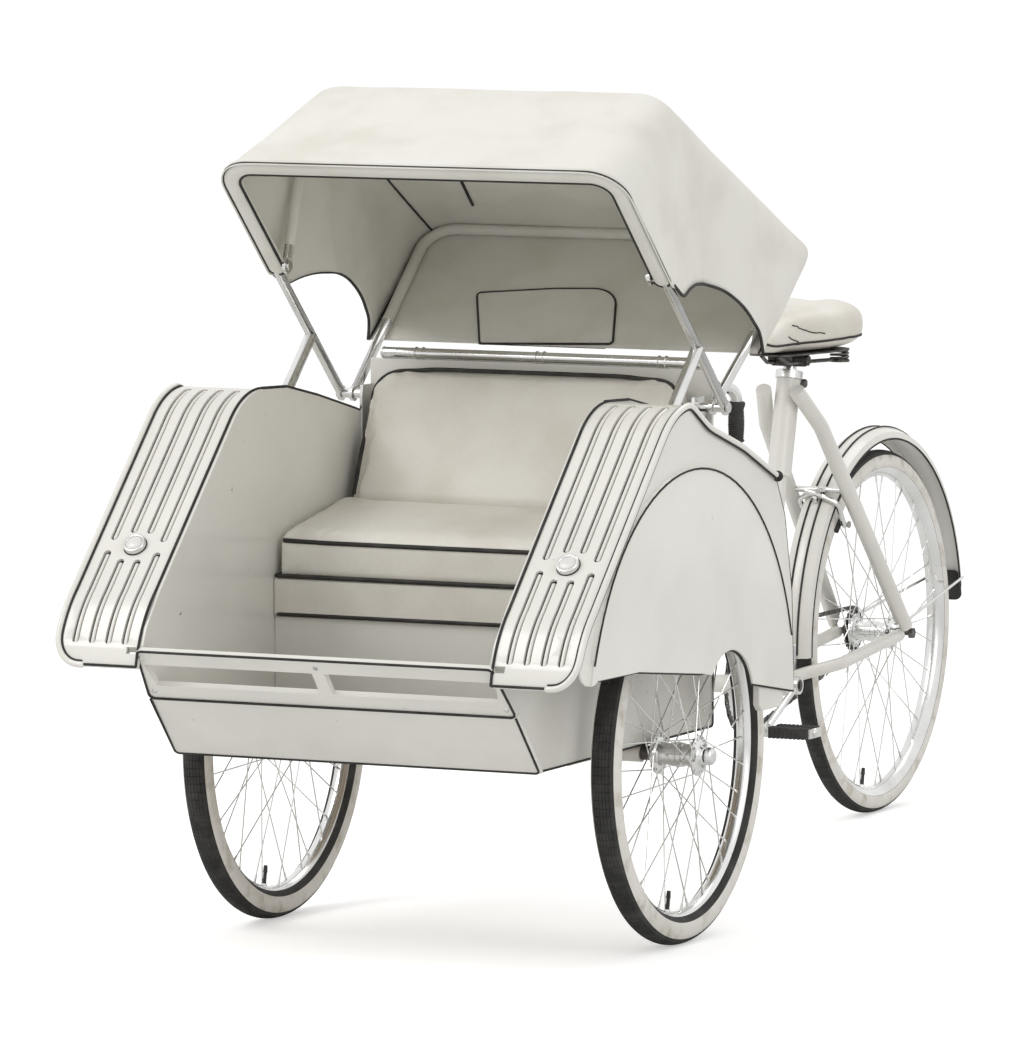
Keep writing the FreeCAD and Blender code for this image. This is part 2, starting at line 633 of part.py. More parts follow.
def makeBow(foot, footSide, headSide, angle, reach, bend):
    """U-shaped bow of round tube with a drilled eye at each end."""
    start = s.hoodEyeRadius * 0.6
    points = [onBow(angle, start, footSide, foot), onBow(angle, reach, headSide, foot),
              onBow(angle, reach, -headSide, foot), onBow(angle, start, -footSide, foot)]
    shapes = [bentRod(points, s.bowTubeRadius, bend)]
    for sign in (1, -1):
        centre = sign * footSide
        shapes.append(crossRod(*foot, centre - eyeHalf, centre + eyeHalf, s.hoodEyeRadius))
    bow = fuse(shapes)
    for sign in (1, -1):
        centre = sign * footSide
        bow = bow.cut(crossRod(*foot, centre - 30, centre + 30, s.hoodPinRadius + s.turnGap))
        for edge in (-1, 1):
            inner = centre + edge * eyeHalf
            outer = centre + edge * 20
            bow = bow.cut(crossRod(*foot, min(inner, outer), max(inner, outer), s.hoodEyeRadius))
    return bow


feature("hood_rear_bow", makeBow(pivot, s.rearBowFoot, s.rearBowHead, s.rearBowAngle,
                                 s.rearBowReach, s.bowBend))

# The mid bow turns on pins that stand inwards from the front bow's legs.
midPivot = flat(onBow(s.frontBowAngle, s.midBowPlace))
frontBow = makeBow(pivot, s.frontBowSide, s.frontBowSide, s.frontBowAngle, s.frontBowReach,
                   s.bowBend)
pinInner = s.midBowFoot - eyeHalf - s.sideGap
pinOuter = s.midBowFoot + eyeHalf + s.sideGap
for sign in (1, -1):
    frontBow = frontBow.fuse([
        crossRod(*midPivot, *sorted((sign * (pinInner - 4), sign * s.frontBowSide)), s.hoodPinRadius),
        crossRod(*midPivot, *sorted((sign * (pinInner - 4), sign * pinInner)), s.hoodPinRadius + 4),
        crossRod(*midPivot, *sorted((sign * pinOuter, sign * (s.frontBowSide - 4))),
                 s.hoodPinRadius + 3)])
feature("hood_front_bow", frontBow.removeSplitter())
feature("hood_mid_bow", makeBow(midPivot, s.midBowFoot, s.midBowHead, s.midBowAngle,
                                s.midBowReach, s.midBowBend))

eyeSides = [s.rearBowFoot, s.frontBowSide]
washerStarts = [s.wallInner] + [side + eyeHalf + s.sideGap for side in eyeSides]
washerEnds = [side - eyeHalf - s.sideGap for side in eyeSides] + [eyeSides[-1] + eyeHalf + 5]
pin = crossRod(*pivot, bracketInner, washerEnds[-1], s.hoodPinRadius)
for start, end in zip(washerStarts, washerEnds):
    pin = pin.fuse(crossRod(*pivot, start, end, s.hoodPinRadius + 4))
ear = plate([(210, 800), (210, 925), (213, 945), (261, 945), (264, 925), (264, 800)],
            bracketInner, s.wallInner)
pair("hood_bracket", pin.fuse(ear).removeSplitter())

# Props that carry the front bow: foot on the fender top, cup under the bow's leg.
legSeat = onBow(s.frontBowAngle, s.stayReach, s.frontBowSide)
stayFoot = at(s.frontBowSide, s.stayFootAft, 936)
stay = rod(stayFoot, legSeat, s.stayRadius)
stay = stay.fuse(Part.makeCylinder(s.stayRadius + 9, 22, stayFoot - Z * 11, Z))
leg = rod(onBow(s.frontBowAngle, 60, s.frontBowSide), onBow(s.frontBowAngle, 400, s.frontBowSide),
          s.bowTubeRadius + s.sideGap)
behind = legSeat - stayFoot
cupCut = Part.makeCylinder(60, 60, legSeat, behind)
stay = stay.cut(leg).cut(cupCut)
stay = stay.cut(sheet).cut(wall)
stay = sorted(stay.Solids, key=lambda piece: piece.Volume)[-1]
pair("hood_stay", stay)

# Hood cover: a thin shell over the bows, open at the front and below. It is lofted between
# three U-shaped sections, one on each bow.
frontHead = onBow(s.frontBowAngle, s.frontBowReach)
midHead = onBow(s.midBowAngle, s.midBowReach, 0, midPivot)
rearHead = onBow(s.rearBowAngle, s.rearBowReach)
lowEdge = s.coverLow


def beyond(head, angle, clear):
    """How far past a bow's head its plane meets the roof, both lying clear of the tube."""
    roof = math.degrees(math.atan2(midHead.z - head.z, midHead.y - head.y))
    between = math.radians(abs((roof - angle) % 360 - 180))
    return clear / math.tan(between / 2)


def overCrest(clear):
    """Point above the mid bow where the front and rear roof meet, both clear of its tube."""
    ahead, behind = (midHead - frontHead).normalize(), (rearHead - midHead).normalize()
    normals = [at(0, -way.z, way.y) for way in (ahead, behind)]
    up = (normals[0] + normals[1]).normalize()
    return midHead + up * (clear / up.dot(normals[0]))


def planeShift(angle, forward):
    """Step square to a bow's plane, towards the front."""
    turn = math.radians(angle)
    return at(0, -forward * math.sin(turn), forward * math.cos(turn))


def coverSection(low, high, side, bend):
    """U-shaped closed wire across the vehicle, over a low and a high point."""
    corners = [low - X * side, high - X * side, high + X * side, low + X * side]
    path = bentPath(corners, bend)
    return Part.Wire(path.Edges + [Part.makeLine(corners[-1], corners[0])])


def coverBlock(thickness, front):
    """Block under the cover's surface; front is how far it stands ahead of the front bow."""
    clear = s.bowTubeRadius + s.coverGap
    out = clear + thickness
    rows = [
        # bow's angle, step ahead, reach, head, side
        (s.frontBowAngle, clear + front, s.frontBowReach, frontHead, s.frontBowSide),
        (s.rearBowAngle, -out, s.rearBowReach, rearHead, s.rearBowHead),
    ]
    sections = []
    for angle, forward, reach, head, side in rows:
        shift = planeShift(angle, forward)
        high = onBow(angle, reach + beyond(head, angle, out)) + shift
        sections.append(coverSection(onBow(angle, lowEdge) + shift, high,
                                     side + out + s.coverEase, s.bowBend + out))
    high = overCrest(out + s.coverEase / 2)
    sections.insert(1, coverSection(at(0, pivot[0], pivot[1] + lowEdge), high,
                                    s.midBowHead + out + s.coverEase, s.bowBend + out))
    return Part.makeLoft(sections, True, True)


cover = coverBlock(s.coverThickness, 0).cut(coverBlock(0, 0.2))
hemHigh = onBow(s.frontBowAngle, s.hemReach)
archRows = [(-400, 700), (hemHigh.y - 60, hemHigh.z - 62), flat(hemHigh),
            (24, 1134), (163, 1152, 330, 1092), (375, 1048), (372, 700)]
cover = cover.cut(plate(archRows, -600, 600))
backRows = [(372, 700), (375, 1000), (700, 1000), (700, 700)]
cover = cover.cut(plate(backRows, -600, 600))
cover = sorted(cover.Solids, key=lambda piece: piece.Volume)[-1]
feature("hood_cover", cover)

# ---------------------------------------------------------------- push bar at the tub's back

barHeight = s.rearPanelTop - s.barDrop
barLeft = [at(s.gripSide, s.gripAft, barHeight - s.gripDrop), at(s.gripSide, s.gripAft, barHeight),
           at(s.barHalf, s.barAft, barHeight)]
barRight = [at(-p.x, p.y, p.z) for p in barLeft[::-1]]
handle = bentRod(barLeft + barRight, s.barTubeRadius, 25)
for sign in (1, -1):
    x = sign * s.barHalf / 2
    handle = handle.fuse([rod(at(x, panelBack, barHeight), at(x, s.barAft, barHeight),
                              s.barTubeRadius - 1),
                          Part.makeCylinder(24, 6, at(x, panelBack, barHeight), Y)])
feature("handlebar", handle.removeSplitter())

grips = []
for barEnd in (barLeft[0], barRight[-1]):
    grip = rod(barEnd - Z * 6, barEnd + Z * (s.gripDrop - 27), s.gripRadius)
    grips.append(grip.cut(rod(barEnd, barEnd + Z * s.gripDrop, s.barTubeRadius + s.seatGap)))
feature("handlebar_grips", Part.makeCompound(grips))

# ---------------------------------------------------------------- rear frame

steer = s.kingpinPlace
shellPlace = (s.bottomBracketAft, s.bottomBracketHeight)
wheelCentre = (s.wheelbase, s.rearTyreRadius)
headTube = Part.makeCylinder(s.headTubeRadius, s.headTubeHigh - s.headTubeLow,
                             at(0, steer, s.headTubeLow))
boreTool = Part.makeCylinder(s.kingpinRadius + s.turnGap, 400, at(0, steer, s.headTubeLow - 100))
seatLow, seatKnee, seatHigh = at(0, *shellPlace), at(0, 1340, 640), at(0, 1400, 880)
sleeveFoot = seatKnee + (seatHigh - seatKnee).normalize() * 60
seatTube = fuse([rod(seatLow, seatKnee, s.seatTubeRadius),
                 rod(seatKnee, seatHigh, s.seatTubeRadius),
                 Part.makeSphere(s.seatTubeRadius, seatKnee),
                 rod(sleeveFoot, seatHigh, s.seatSleeveRadius),
                 crossRod(*shellPlace, -s.shellHalf, s.shellHalf, s.shellRadius)])
seatTube = seatTube.cut(crossRod(*shellPlace, -100, 100, s.spindleRadius + s.turnGap))
postRadius = 12.5
seatDown = (seatKnee - seatHigh).normalize()
seatTube = seatTube.cut(rod(seatHigh, seatHigh + seatDown * 120, postRadius + s.seatGap))
feature("seat_tube", seatTube)

backboneStart = at(0, steer, s.headTubeHigh - 40)
backbone = bentRod([backboneStart, at(0, 800, 560), seatKnee - Z * 30], s.backboneRadius, 300)
backbone = fuse([headTube, backbone]).cut(boreTool)
clearSeat = rod(seatLow, seatKnee, s.seatTubeRadius + s.seatGap).fuse(
    [Part.makeSphere(s.seatTubeRadius + s.seatGap, seatKnee),
     crossRod(*shellPlace, -s.shellHalf - 1, s.shellHalf + 1, s.shellRadius + s.seatGap)])
backbone = sorted(backbone.cut(clearSeat).Solids, key=lambda piece: piece.Volume)[-1]
feature("backbone", backbone)
downTube = rod(at(0, steer, s.headTubeLow + 32), at(0, *shellPlace), s.downTubeRadius)
clearHead = Part.makeCylinder(s.headTubeRadius + s.seatGap, 400, at(0, steer, s.headTubeLow - 100))
downTube = downTube.cut(clearSeat).cut(clearHead).cut(boreTool)
downTube = sorted(downTube.Solids, key=lambda piece: piece.Volume)[-1]
feature("down_tube", downTube)

frameStays = []
axleSide = s.dropoutSide
dropPlate = s.dropoutThickness
for side, sign in (("left", 1), ("right", -1)):
    stayPath = [at(sign * 20, shellPlace[0] + 12, shellPlace[1] + 2),
                at(sign * 27, shellPlace[0] + 106, shellPlace[1] + 10),
                at(sign * axleSide, shellPlace[0] + 200, shellPlace[1] + 22),
                at(sign * axleSide, wheelCentre[0] - 26, wheelCentre[1] - 2)]
    chainStay = bentRod(stayPath, s.chainStayRadius, 60)
    ear = crossRod(*wheelCentre, sign * axleSide - dropPlate / 2, sign * axleSide + dropPlate / 2, 25)
    chainStay = chainStay.fuse(ear).cut(clearSeat)
    chainStay = chainStay.cut(crossRod(*wheelCentre, -100, 100, s.rearAxleRadius + s.seatGap))
    chainStay = sorted(chainStay.Solids, key=lambda piece: piece.Volume)[-1]
    feature(f"chain_stay_{side}", chainStay)
    top = at(sign * 34, 1358, 862)
    knee = at(sign * 56, 1425, 790)
    end = at(sign * (axleSide + dropPlate / 2 + s.seatGap + 4), *wheelCentre)
    seatStay = bentRod([top, knee, at(end.x, wheelCentre[0] - 14, wheelCentre[1] + 15)],
                       s.seatStayRadius, 60)
    lug = crossRod(*wheelCentre, sign * (axleSide + dropPlate / 2 + s.seatGap),
                   sign * (axleSide + dropPlate / 2 + s.seatGap + 8), 20)
    seatStay = seatStay.fuse(lug)
    for shape in (rod(seatKnee, seatHigh + Z * 5, s.seatSleeveRadius + s.seatGap),
                  crossRod(*wheelCentre, -100, 100, s.rearAxleRadius + s.seatGap),
                  crossRod(*wheelCentre, sign * -axleSide,
                           sign * (axleSide + dropPlate / 2 + s.seatGap), 45)):
        seatStay = seatStay.cut(shape)
    seatStay = seatStay.cut(chainStay)
    seatStay = sorted(seatStay.Solids, key=lambda piece: piece.Volume)[-1]
    feature(f"seat_stay_{side}", seatStay)
    frameStays += [chainStay, seatStay]

stayFace = axleSide + dropPlate / 2 + s.seatGap + 8
rearEnd = stayFace + s.seatGap + s.nutLength
rearShoulder = s.rearHubHalf + s.sideGap
rearAxle = fuse([crossRod(*wheelCentre, -rearEnd, rearEnd, s.rearAxleRadius),
                 crossRod(*wheelCentre, rearShoulder, axleSide - dropPlate / 2 - s.seatGap, 9),
                 crossRod(*wheelCentre, -axleSide + dropPlate / 2 + s.seatGap, -rearShoulder, 9)])
feature("rear_axle", rearAxle)
feature("rear_axle_nuts", Part.makeCompound([
    hexNut(sign * (stayFace + s.seatGap), sign * rearEnd, *wheelCentre, 11,
           s.rearAxleRadius + s.seatGap) for sign in (1, -1)]))

# Mudguard: a crowned strip turned about the rear axle, held by two stays.
guardOuter = [(-s.guardHalfWidth, s.guardEdge), (-s.guardHalfWidth + 3, s.guardCrest - 9),
              (-12, s.guardCrest), (12, s.guardCrest), (s.guardHalfWidth - 3, s.guardCrest - 9),
              (s.guardHalfWidth, s.guardEdge)]
guardInner = [(-s.guardHalfWidth + s.guardThickness, s.guardEdge),
              (-s.guardHalfWidth + 6, s.guardCrest - 12), (-11, s.guardCrest - 3),
              (11, s.guardCrest - 3), (s.guardHalfWidth - 6, s.guardCrest - 12),
              (s.guardHalfWidth - s.guardThickness, s.guardEdge)]
loop = guardOuter + guardInner[::-1]
guardFace = Part.Face(Part.makePolygon([at(x, r, 0) for x, r in loop + loop[:1]]))
guard = guardFace.revolve(at(0, 0, 0), X, s.guardFrontAngle - s.guardRearAngle)
guard.rotate(at(0, 0, 0), X, s.guardRearAngle)
guard.translate(at(0, *wheelCentre))
feature("rear_mudguard", guard)

guardStays = []
turn = math.radians(s.guardRearAngle + 3)
for sign in (1, -1):
    hook = at(sign * (s.guardHalfWidth + 3 + s.seatGap),
              wheelCentre[0] + (s.guardEdge + 6) * math.cos(turn),
              wheelCentre[1] + (s.guardEdge + 6) * math.sin(turn))
    lugEnd = at(sign * (axleSide - dropPlate / 2 - 4), wheelCentre[0] + 18, wheelCentre[1] + 18)
    guardStays.append(rod(hook, lugEnd, 3))
bridgeReach = s.guardCrest + s.seatGap + 6
bridgeTurn = math.radians(132.2)
bridgePlace = (wheelCentre[0] + bridgeReach * math.cos(bridgeTurn),
               wheelCentre[1] + bridgeReach * math.sin(bridgeTurn))
guardStays.append(crossRod(*bridgePlace, -60, 60, 6))
clipAft = wheelCentre[0] - s.guardCrest - s.seatGap
clip = crossRod(clipAft - 6, shellPlace[1] + 9, -40, 40, 6)
clip = clip.fuse(Part.makeBox(20, 4, 56, at(-10, clipAft - 4, shellPlace[1] + 9)))
guardStays.append(clip)
for stay in frameStays:
    guardStays = [piece.cut(stay) for piece in guardStays]
guardStays = [min(piece.Solids, key=lambda solid: abs(solid.CenterOfMass.x) - solid.Volume / 1e6)
              for piece in guardStays]
feature("mudguard_mounts", Part.makeCompound(guardStays))

# ---------------------------------------------------------------- saddle

seatUp = (seatHigh - seatKnee).normalize()
postTop = seatHigh + seatUp * 40
seatPost = fuse([rod(seatHigh + seatDown * 100, postTop, postRadius),
                 rod(seatHigh + seatUp * 0.3, seatHigh + seatUp * 16, s.seatSleeveRadius + 3)])
feature("seat_post", seatPost)
saddleBottom = postTop.z + 15
saddleTop = saddleBottom + s.saddleHeight
frameLow, frameTop = postTop.z + s.sideGap, saddleBottom - s.sideGap
aft = postTop.y
cradle = Part.makeLoft([
    Part.makePolygon([at(-34, aft - 60, frameLow), at(34, aft - 60, frameLow),
                      at(34, aft + 40, frameLow - 12), at(-34, aft + 40, frameLow - 12),
                      at(-34, aft - 60, frameLow)]),
    Part.makePolygon([at(-52, aft - 110, frameTop), at(52, aft - 110, frameTop),
                      at(86, aft + 130, frameTop), at(-86, aft + 130, frameTop),
                      at(-52, aft - 110, frameTop)])], True, True)
cradle = cradle.cut(seatPost)
feature("saddle_cradle", sorted(cradle.Solids, key=lambda piece: piece.Volume)[-1])
saddleRows = [
    # aft of the post, half width, low, high
    (-160, 26, saddleBottom + 12, saddleTop - 50),
    (-80, 45, saddleBottom, saddleTop - 24),
    (10, 90, saddleBottom, saddleTop - 4),
    (90, s.saddleHalf, saddleBottom, saddleTop),
    (146, 76, saddleBottom + 12, saddleTop - 22),
]
sections = []
for back, half, low, high in saddleRows:
    aft = postTop.y + back
    edge, shoulderHigh = low + (high - low) * 0.15, low + (high - low) * 0.65
    ring = [at(-half, aft, edge), at(-half * 0.8, aft, low), at(half * 0.8, aft, low),
            at(half, aft, edge), at(half, aft, shoulderHigh), at(half * 0.7, aft, high),
            at(-half * 0.7, aft, high), at(-half, aft, shoulderHigh)]
    sections.append(Part.makePolygon(ring + ring[:1]))
feature("saddle", Part.makeLoft(sections, True, True))

# ---------------------------------------------------------------- crank, pedals and chain

turn = math.radians(s.crankTurn)
crankWay = Vector(0, math.cos(turn), math.sin(turn))
ringRadius = s.chainPitch / 2 / math.sin(math.pi / s.ringTeeth)
sprocketRadius = s.chainPitch / 2 / math.sin(math.pi / s.sprocketTeeth)
chainInner = 1.0
crankEnd = s.crankInner + s.crankThickness


def toothedDisc(radius, teeth, thickness, x, y, z, bore):
    """Flat sprocket with a plain tooth at each chain pitch."""
    points = []
    for i in range(teeth):
        for part, reach in ((0, -3.5), (0.3, -3.5), (0.45, 0), (0.85, 0)):
            angle = 2 * math.pi * (i + part) / teeth
            points.append(at(x - thickness / 2, y + (radius + reach) * math.cos(angle),
                             z + (radius + reach) * math.sin(angle)))
    disc = Part.Face(Part.makePolygon(points + points[:1])).extrude(X * thickness)
    return disc.cut(crossRod(y, z, x - 10, x + 10, bore))


def crankArm(sign, way):
    """Arm from the spindle to the pedal, with its pedal eye drilled."""
    x0, x1 = sign * s.crankInner, sign * crankEnd
    eye = at(0, *shellPlace) + way * s.crankLength
    arm = rod(at((x0 + x1) / 2, *shellPlace), eye + X * ((x0 + x1) / 2), s.crankThickness / 2 - 0.4)
    arm = arm.fuse([crossRod(*shellPlace, x0, x1, 17), crossRod(eye.y, eye.z, x0, x1, 13)])
    return arm.cut(crossRod(eye.y, eye.z, -200, 200, s.pedalSpindleRadius + s.seatGap)), eye


leftArm, leftEye = crankArm(1, crankWay)
rightArm, rightEye = crankArm(-1, crankWay * -1)
spindleEnd = s.crankInner
crank = leftArm.fuse([rightArm, crossRod(*shellPlace, -spindleEnd, spindleEnd, s.spindleRadius)])
collar = s.shellHalf + s.sideGap
crank = crank.fuse([crossRod(*shellPlace, collar, s.crankInner, 11),
                    crossRod(*shellPlace, -s.crankInner, -collar, 11)])
ring = toothedDisc(ringRadius - chainInner, int(s.ringTeeth), s.ringThickness, -s.chainLine,
                   *shellPlace, 60)
arms = []
for i in range(5):
    spoke = math.radians(72 * i + 20)
    tip = at(-s.chainLine, shellPlace[0] + 66 * math.cos(spoke), shellPlace[1] + 66 * math.sin(spoke))
    arms.append(rod(at(-s.chainLine, *shellPlace), tip, s.ringThickness / 2))
crank = crank.fuse([ring] + arms)
feature("crankset", crank.removeSplitter())

for side, sign, eye in (("left", 1, leftEye), ("right", -1, rightEye)):
    start = sign * (s.crankInner + 1)
    shoulderEnd = sign * (crankEnd + 8)
    spindle = crossRod(eye.y, eye.z, start, sign * (crankEnd + 10 + s.pedalLength - 14),
                       s.pedalSpindleRadius)
    block = Part.makeBox(s.pedalLength, s.pedalWidth, s.pedalThickness,
                         at(min(shoulderEnd, shoulderEnd + sign * s.pedalLength),
                            eye.y - s.pedalWidth / 2, eye.z - s.pedalThickness / 2))
    block = block.makeFillet(6, block.Edges)
    feature(f"pedal_{side}", block.fuse(spindle).removeSplitter())

sprocketX = -s.chainLine
sprocket = toothedDisc(sprocketRadius - chainInner, int(s.sprocketTeeth), s.ringThickness, sprocketX,
                       *wheelCentre, s.rearHubRadius * 0.8 + s.seatGap)
feature("rear_sprocket", sprocket)


def onRim(centre, radius, angle):
    return (centre.y + radius * math.cos(angle), centre.z + radius * math.sin(angle))


def chainLoop(extra, x0, x1):
    """Plate filling the chain's path grown by extra."""
    big, small = ringRadius + extra, sprocketRadius + extra
    a, b = at(0, *shellPlace), at(0, *wheelCentre)
    span = (b - a).Length
    lean = math.atan2(b.z - a.z, b.y - a.y)
    wrap = math.acos((big - small) / span)
    upper, lower = lean + wrap, lean - wrap
    rows = [onRim(a, big, upper), onRim(b, small, upper),
            (*onRim(b, small, lean), *onRim(b, small, lower)), onRim(a, big, lower),
            (*onRim(a, big, lean + math.pi), *onRim(a, big, upper))]
    return plate(rows, x0, x1)


chainX0, chainX1 = -s.chainLine - s.chainWidth / 2, -s.chainLine + s.chainWidth / 2
chain = chainLoop(s.chainHeight, chainX0, chainX1).cut(chainLoop(0, chainX0 - 1, chainX1 + 1))
feature("chain", chain)

# ---------------------------------------------------------------- checks and export

doc.recompute()
for obj in doc.Objects:
    if "Invalid" in obj.State or "Error" in obj.State:
        raise RuntimeError(f"{obj.Label} did not compute: {obj.State}")
for piece in pieces:
    if piece.Shape.isNull() or not piece.Shape.isValid():
        raise RuntimeError(f"{piece.Label} has no valid shape")
for piece in pieces:
    piece.Shape.exportStep(f"parts/{piece.Label}.step")
print(len(pieces), "pieces")
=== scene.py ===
import json
import math
import bmesh
import bpy
from mathutils import Matrix, Vector, noise
from mathutils.bvhtree import BVHTree
from mathutils.kdtree import KDTree
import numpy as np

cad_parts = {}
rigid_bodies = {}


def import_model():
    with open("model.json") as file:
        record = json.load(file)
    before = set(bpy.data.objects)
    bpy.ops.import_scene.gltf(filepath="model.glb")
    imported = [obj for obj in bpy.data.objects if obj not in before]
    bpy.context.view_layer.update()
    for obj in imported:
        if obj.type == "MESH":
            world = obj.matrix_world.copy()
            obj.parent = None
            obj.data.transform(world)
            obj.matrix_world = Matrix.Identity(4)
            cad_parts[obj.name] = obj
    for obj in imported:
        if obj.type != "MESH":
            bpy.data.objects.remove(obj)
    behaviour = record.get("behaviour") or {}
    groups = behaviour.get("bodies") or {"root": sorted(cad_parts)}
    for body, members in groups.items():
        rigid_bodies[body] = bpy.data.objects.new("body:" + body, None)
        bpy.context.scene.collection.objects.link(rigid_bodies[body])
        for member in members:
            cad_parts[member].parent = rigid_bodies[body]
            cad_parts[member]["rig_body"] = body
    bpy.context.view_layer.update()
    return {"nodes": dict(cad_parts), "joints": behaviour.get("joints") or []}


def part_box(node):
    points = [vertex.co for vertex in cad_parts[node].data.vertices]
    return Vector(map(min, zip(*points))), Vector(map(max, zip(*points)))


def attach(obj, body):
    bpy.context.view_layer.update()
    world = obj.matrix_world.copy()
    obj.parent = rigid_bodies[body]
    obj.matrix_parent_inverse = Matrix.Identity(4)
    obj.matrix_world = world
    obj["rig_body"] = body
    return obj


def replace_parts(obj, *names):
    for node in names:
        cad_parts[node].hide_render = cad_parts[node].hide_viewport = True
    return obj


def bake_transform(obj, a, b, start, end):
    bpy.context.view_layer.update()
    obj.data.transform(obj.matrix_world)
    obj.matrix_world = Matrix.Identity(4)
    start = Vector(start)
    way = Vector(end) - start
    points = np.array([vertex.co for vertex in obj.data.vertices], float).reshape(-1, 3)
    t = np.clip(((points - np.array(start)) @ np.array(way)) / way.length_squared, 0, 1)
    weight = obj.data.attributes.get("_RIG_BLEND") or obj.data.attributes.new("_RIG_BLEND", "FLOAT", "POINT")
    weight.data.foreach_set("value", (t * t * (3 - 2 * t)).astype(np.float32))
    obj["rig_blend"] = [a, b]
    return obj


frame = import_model()
scene = bpy.context.scene
across = Vector((1, 0, 0))
aftward = Vector((0, 1, 0))
upward = Vector((0, 0, 1))


def middleOf(node):
    low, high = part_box(node)
    return (low + high) / 2


frontAxle = middleOf("front_axle")
rearAxle = middleOf("rear_axle")


def at(x, aft, z):  # metres: to the vehicle's left, aft of the front axle, above the floor
    return Vector((x, frontAxle.y + aft, z))


def jointPlace(name):
    return Vector([joint for joint in frame["joints"] if joint["name"] == name][0]["pos_m"])


class Signal:  # one shader socket that takes part in plain expressions
    def __init__(self, tree, socket):
        self.tree = tree
        self.socket = socket

    def node(self, kind, settings, inputs, output=0):
        made = self.tree.nodes.new("ShaderNode" + kind)
        for name, value in settings.items():
            setattr(made, name, value)
        for name, value in inputs.items():
            if isinstance(value, Signal):
                self.tree.links.new(value.socket, made.inputs[name])
            else:
                made.inputs[name].default_value = value
        return Signal(self.tree, made.outputs[output])

    def maths(self, operation, *values):
        return self.node("Math", {"operation": operation}, dict(enumerate(values)))

    def __add__(self, other):
        return self.maths("ADD", self, other)

    __radd__ = __add__

    def __rsub__(self, other):
        return self.maths("SUBTRACT", other, self)

    def __mul__(self, other):
        return self.maths("MULTIPLY", self, other)

    def sine(self):
        return self.maths("SINE", self)

    def over(self, edge, soft):  # 0 below the edge and 1 above it
        inputs = {"Value": self, "From Min": edge - soft, "From Max": edge + soft}
        return self.node("MapRange", {"interpolation_type": "SMOOTHSTEP"}, inputs)

    def noise(self, scale, detail):
        return self.node("TexNoise", {}, {"Vector": self, "Scale": scale, "Detail": detail})

    def cells(self, scale):
        return self.node("TexVoronoi", {}, {"Vector": self, "Scale": scale}, "Distance")

    def part(self, axis):
        return self.node("SeparateXYZ", {}, {"Vector": self}, axis)

    def stretched(self, x, y, z):
        return self.node("Mapping", {}, {"Vector": self, "Scale": (x, y, z)})

    def blend(self, first, second):  # this signal mixes two colours
        return self.node("Mix", {"data_type": "RGBA"}, {0: self, 6: first, 7: second}, 2)

    def bump(self, distance, strength):
        return self.node("Bump", {}, {"Height": self, "Distance": distance, "Strength": strength})

    def into(self, shader, name):
        self.tree.links.new(self.socket, shader.inputs[name])


def surface(name, constants):  # a new finish, and the place on the object that it works from
    made = bpy.data.materials.new(name)
    made.use_nodes = True
    for socket, value in constants.items():
        made.node_tree.nodes["Principled BSDF"].inputs[socket].default_value = value
    place = made.node_tree.nodes.new("ShaderNodeTexCoord")
    return made, Signal(made.node_tree, place.outputs["Object"])


def coat(made, paint, roughness, height, rise, strength):
    shader = made.node_tree.nodes["Principled BSDF"]
    paint.into(shader, "Base Color")
    roughness.into(shader, "Roughness")
    height.bump(rise, strength).into(shader, "Normal")
    return made


def tone(red, green, blue):
    return (red, green, blue, 1)


def enamelFinish(name, colour):  # brushed-on gloss enamel with road dust low down
    look = {"dust": tone(0.50, 0.45, 0.37), "dustTop": 0.62, "scuff": tone(0.52, 0.50, 0.46)}
    made, place = surface(name, {"Coat Weight": 0.35, "Coat Roughness": 0.12})
    shade = place.noise(5, 4)
    dull = tuple(c * 0.93 for c in colour[:3]) + (1,)
    half = look["dustTop"] * 0.5
    low = (1 - place.part("Z").over(half, half)) * place.noise(14, 5).over(0.5, 0.25)
    chips = place.noise(70, 6).over(0.735, 0.02)
    paint = shade.over(0.55, 0.2).blend(colour, dull)
    paint = (low * 0.42).blend(paint, look["dust"])
    paint = (chips * 0.7).blend(paint, look["scuff"])
    roughness = 0.24 + shade * 0.14 + low * 0.25 + chips * 0.2
    return coat(made, paint, roughness, place.noise(260, 1) + chips * -1.6, 0.00012, 0.6)


def chromeFinish():  # plated steel, lightly hazed by fingers and weather
    made, place = surface("chromePlate", {"Metallic": 1.0})
    haze = place.noise(9, 4)
    spots = place.noise(130, 3).over(0.72, 0.03)
    paint = haze.over(0.6, 0.25).blend(tone(0.80, 0.80, 0.79), tone(0.62, 0.61, 0.59))
    paint = (spots * 0.6).blend(paint, tone(0.34, 0.24, 0.16))
    return coat(made, paint, 0.13 + haze * 0.14 + spots * 0.4, place.noise(420, 1), 0.00003, 0.5)


def darkSteelFinish():  # oiled black steel of chains, nuts and springs
    made, place = surface("oiledSteel", {"Metallic": 0.85})
    grime = place.noise(60, 5)
    paint = grime.over(0.55, 0.2).blend(tone(0.16, 0.155, 0.15), tone(0.07, 0.06, 0.05))
    return coat(made, paint, 0.32 + grime * 0.3, place.noise(500, 2), 0.00008, 0.6)


def rubberFinish(name, colour, grain):  # moulded rubber with a powdery bloom
    made, place = surface(name, {"Specular IOR Level": 0.35})
    bloom = place.noise(24, 5)
    faded = tuple(min(1, c * 1.6 + 0.02) for c in colour[:3]) + (1,)
    paint = bloom.over(0.58, 0.22).blend(colour, faded)
    return coat(made, paint, 0.62 + bloom * 0.25, place.noise(grain, 2), 0.00015, 0.7)


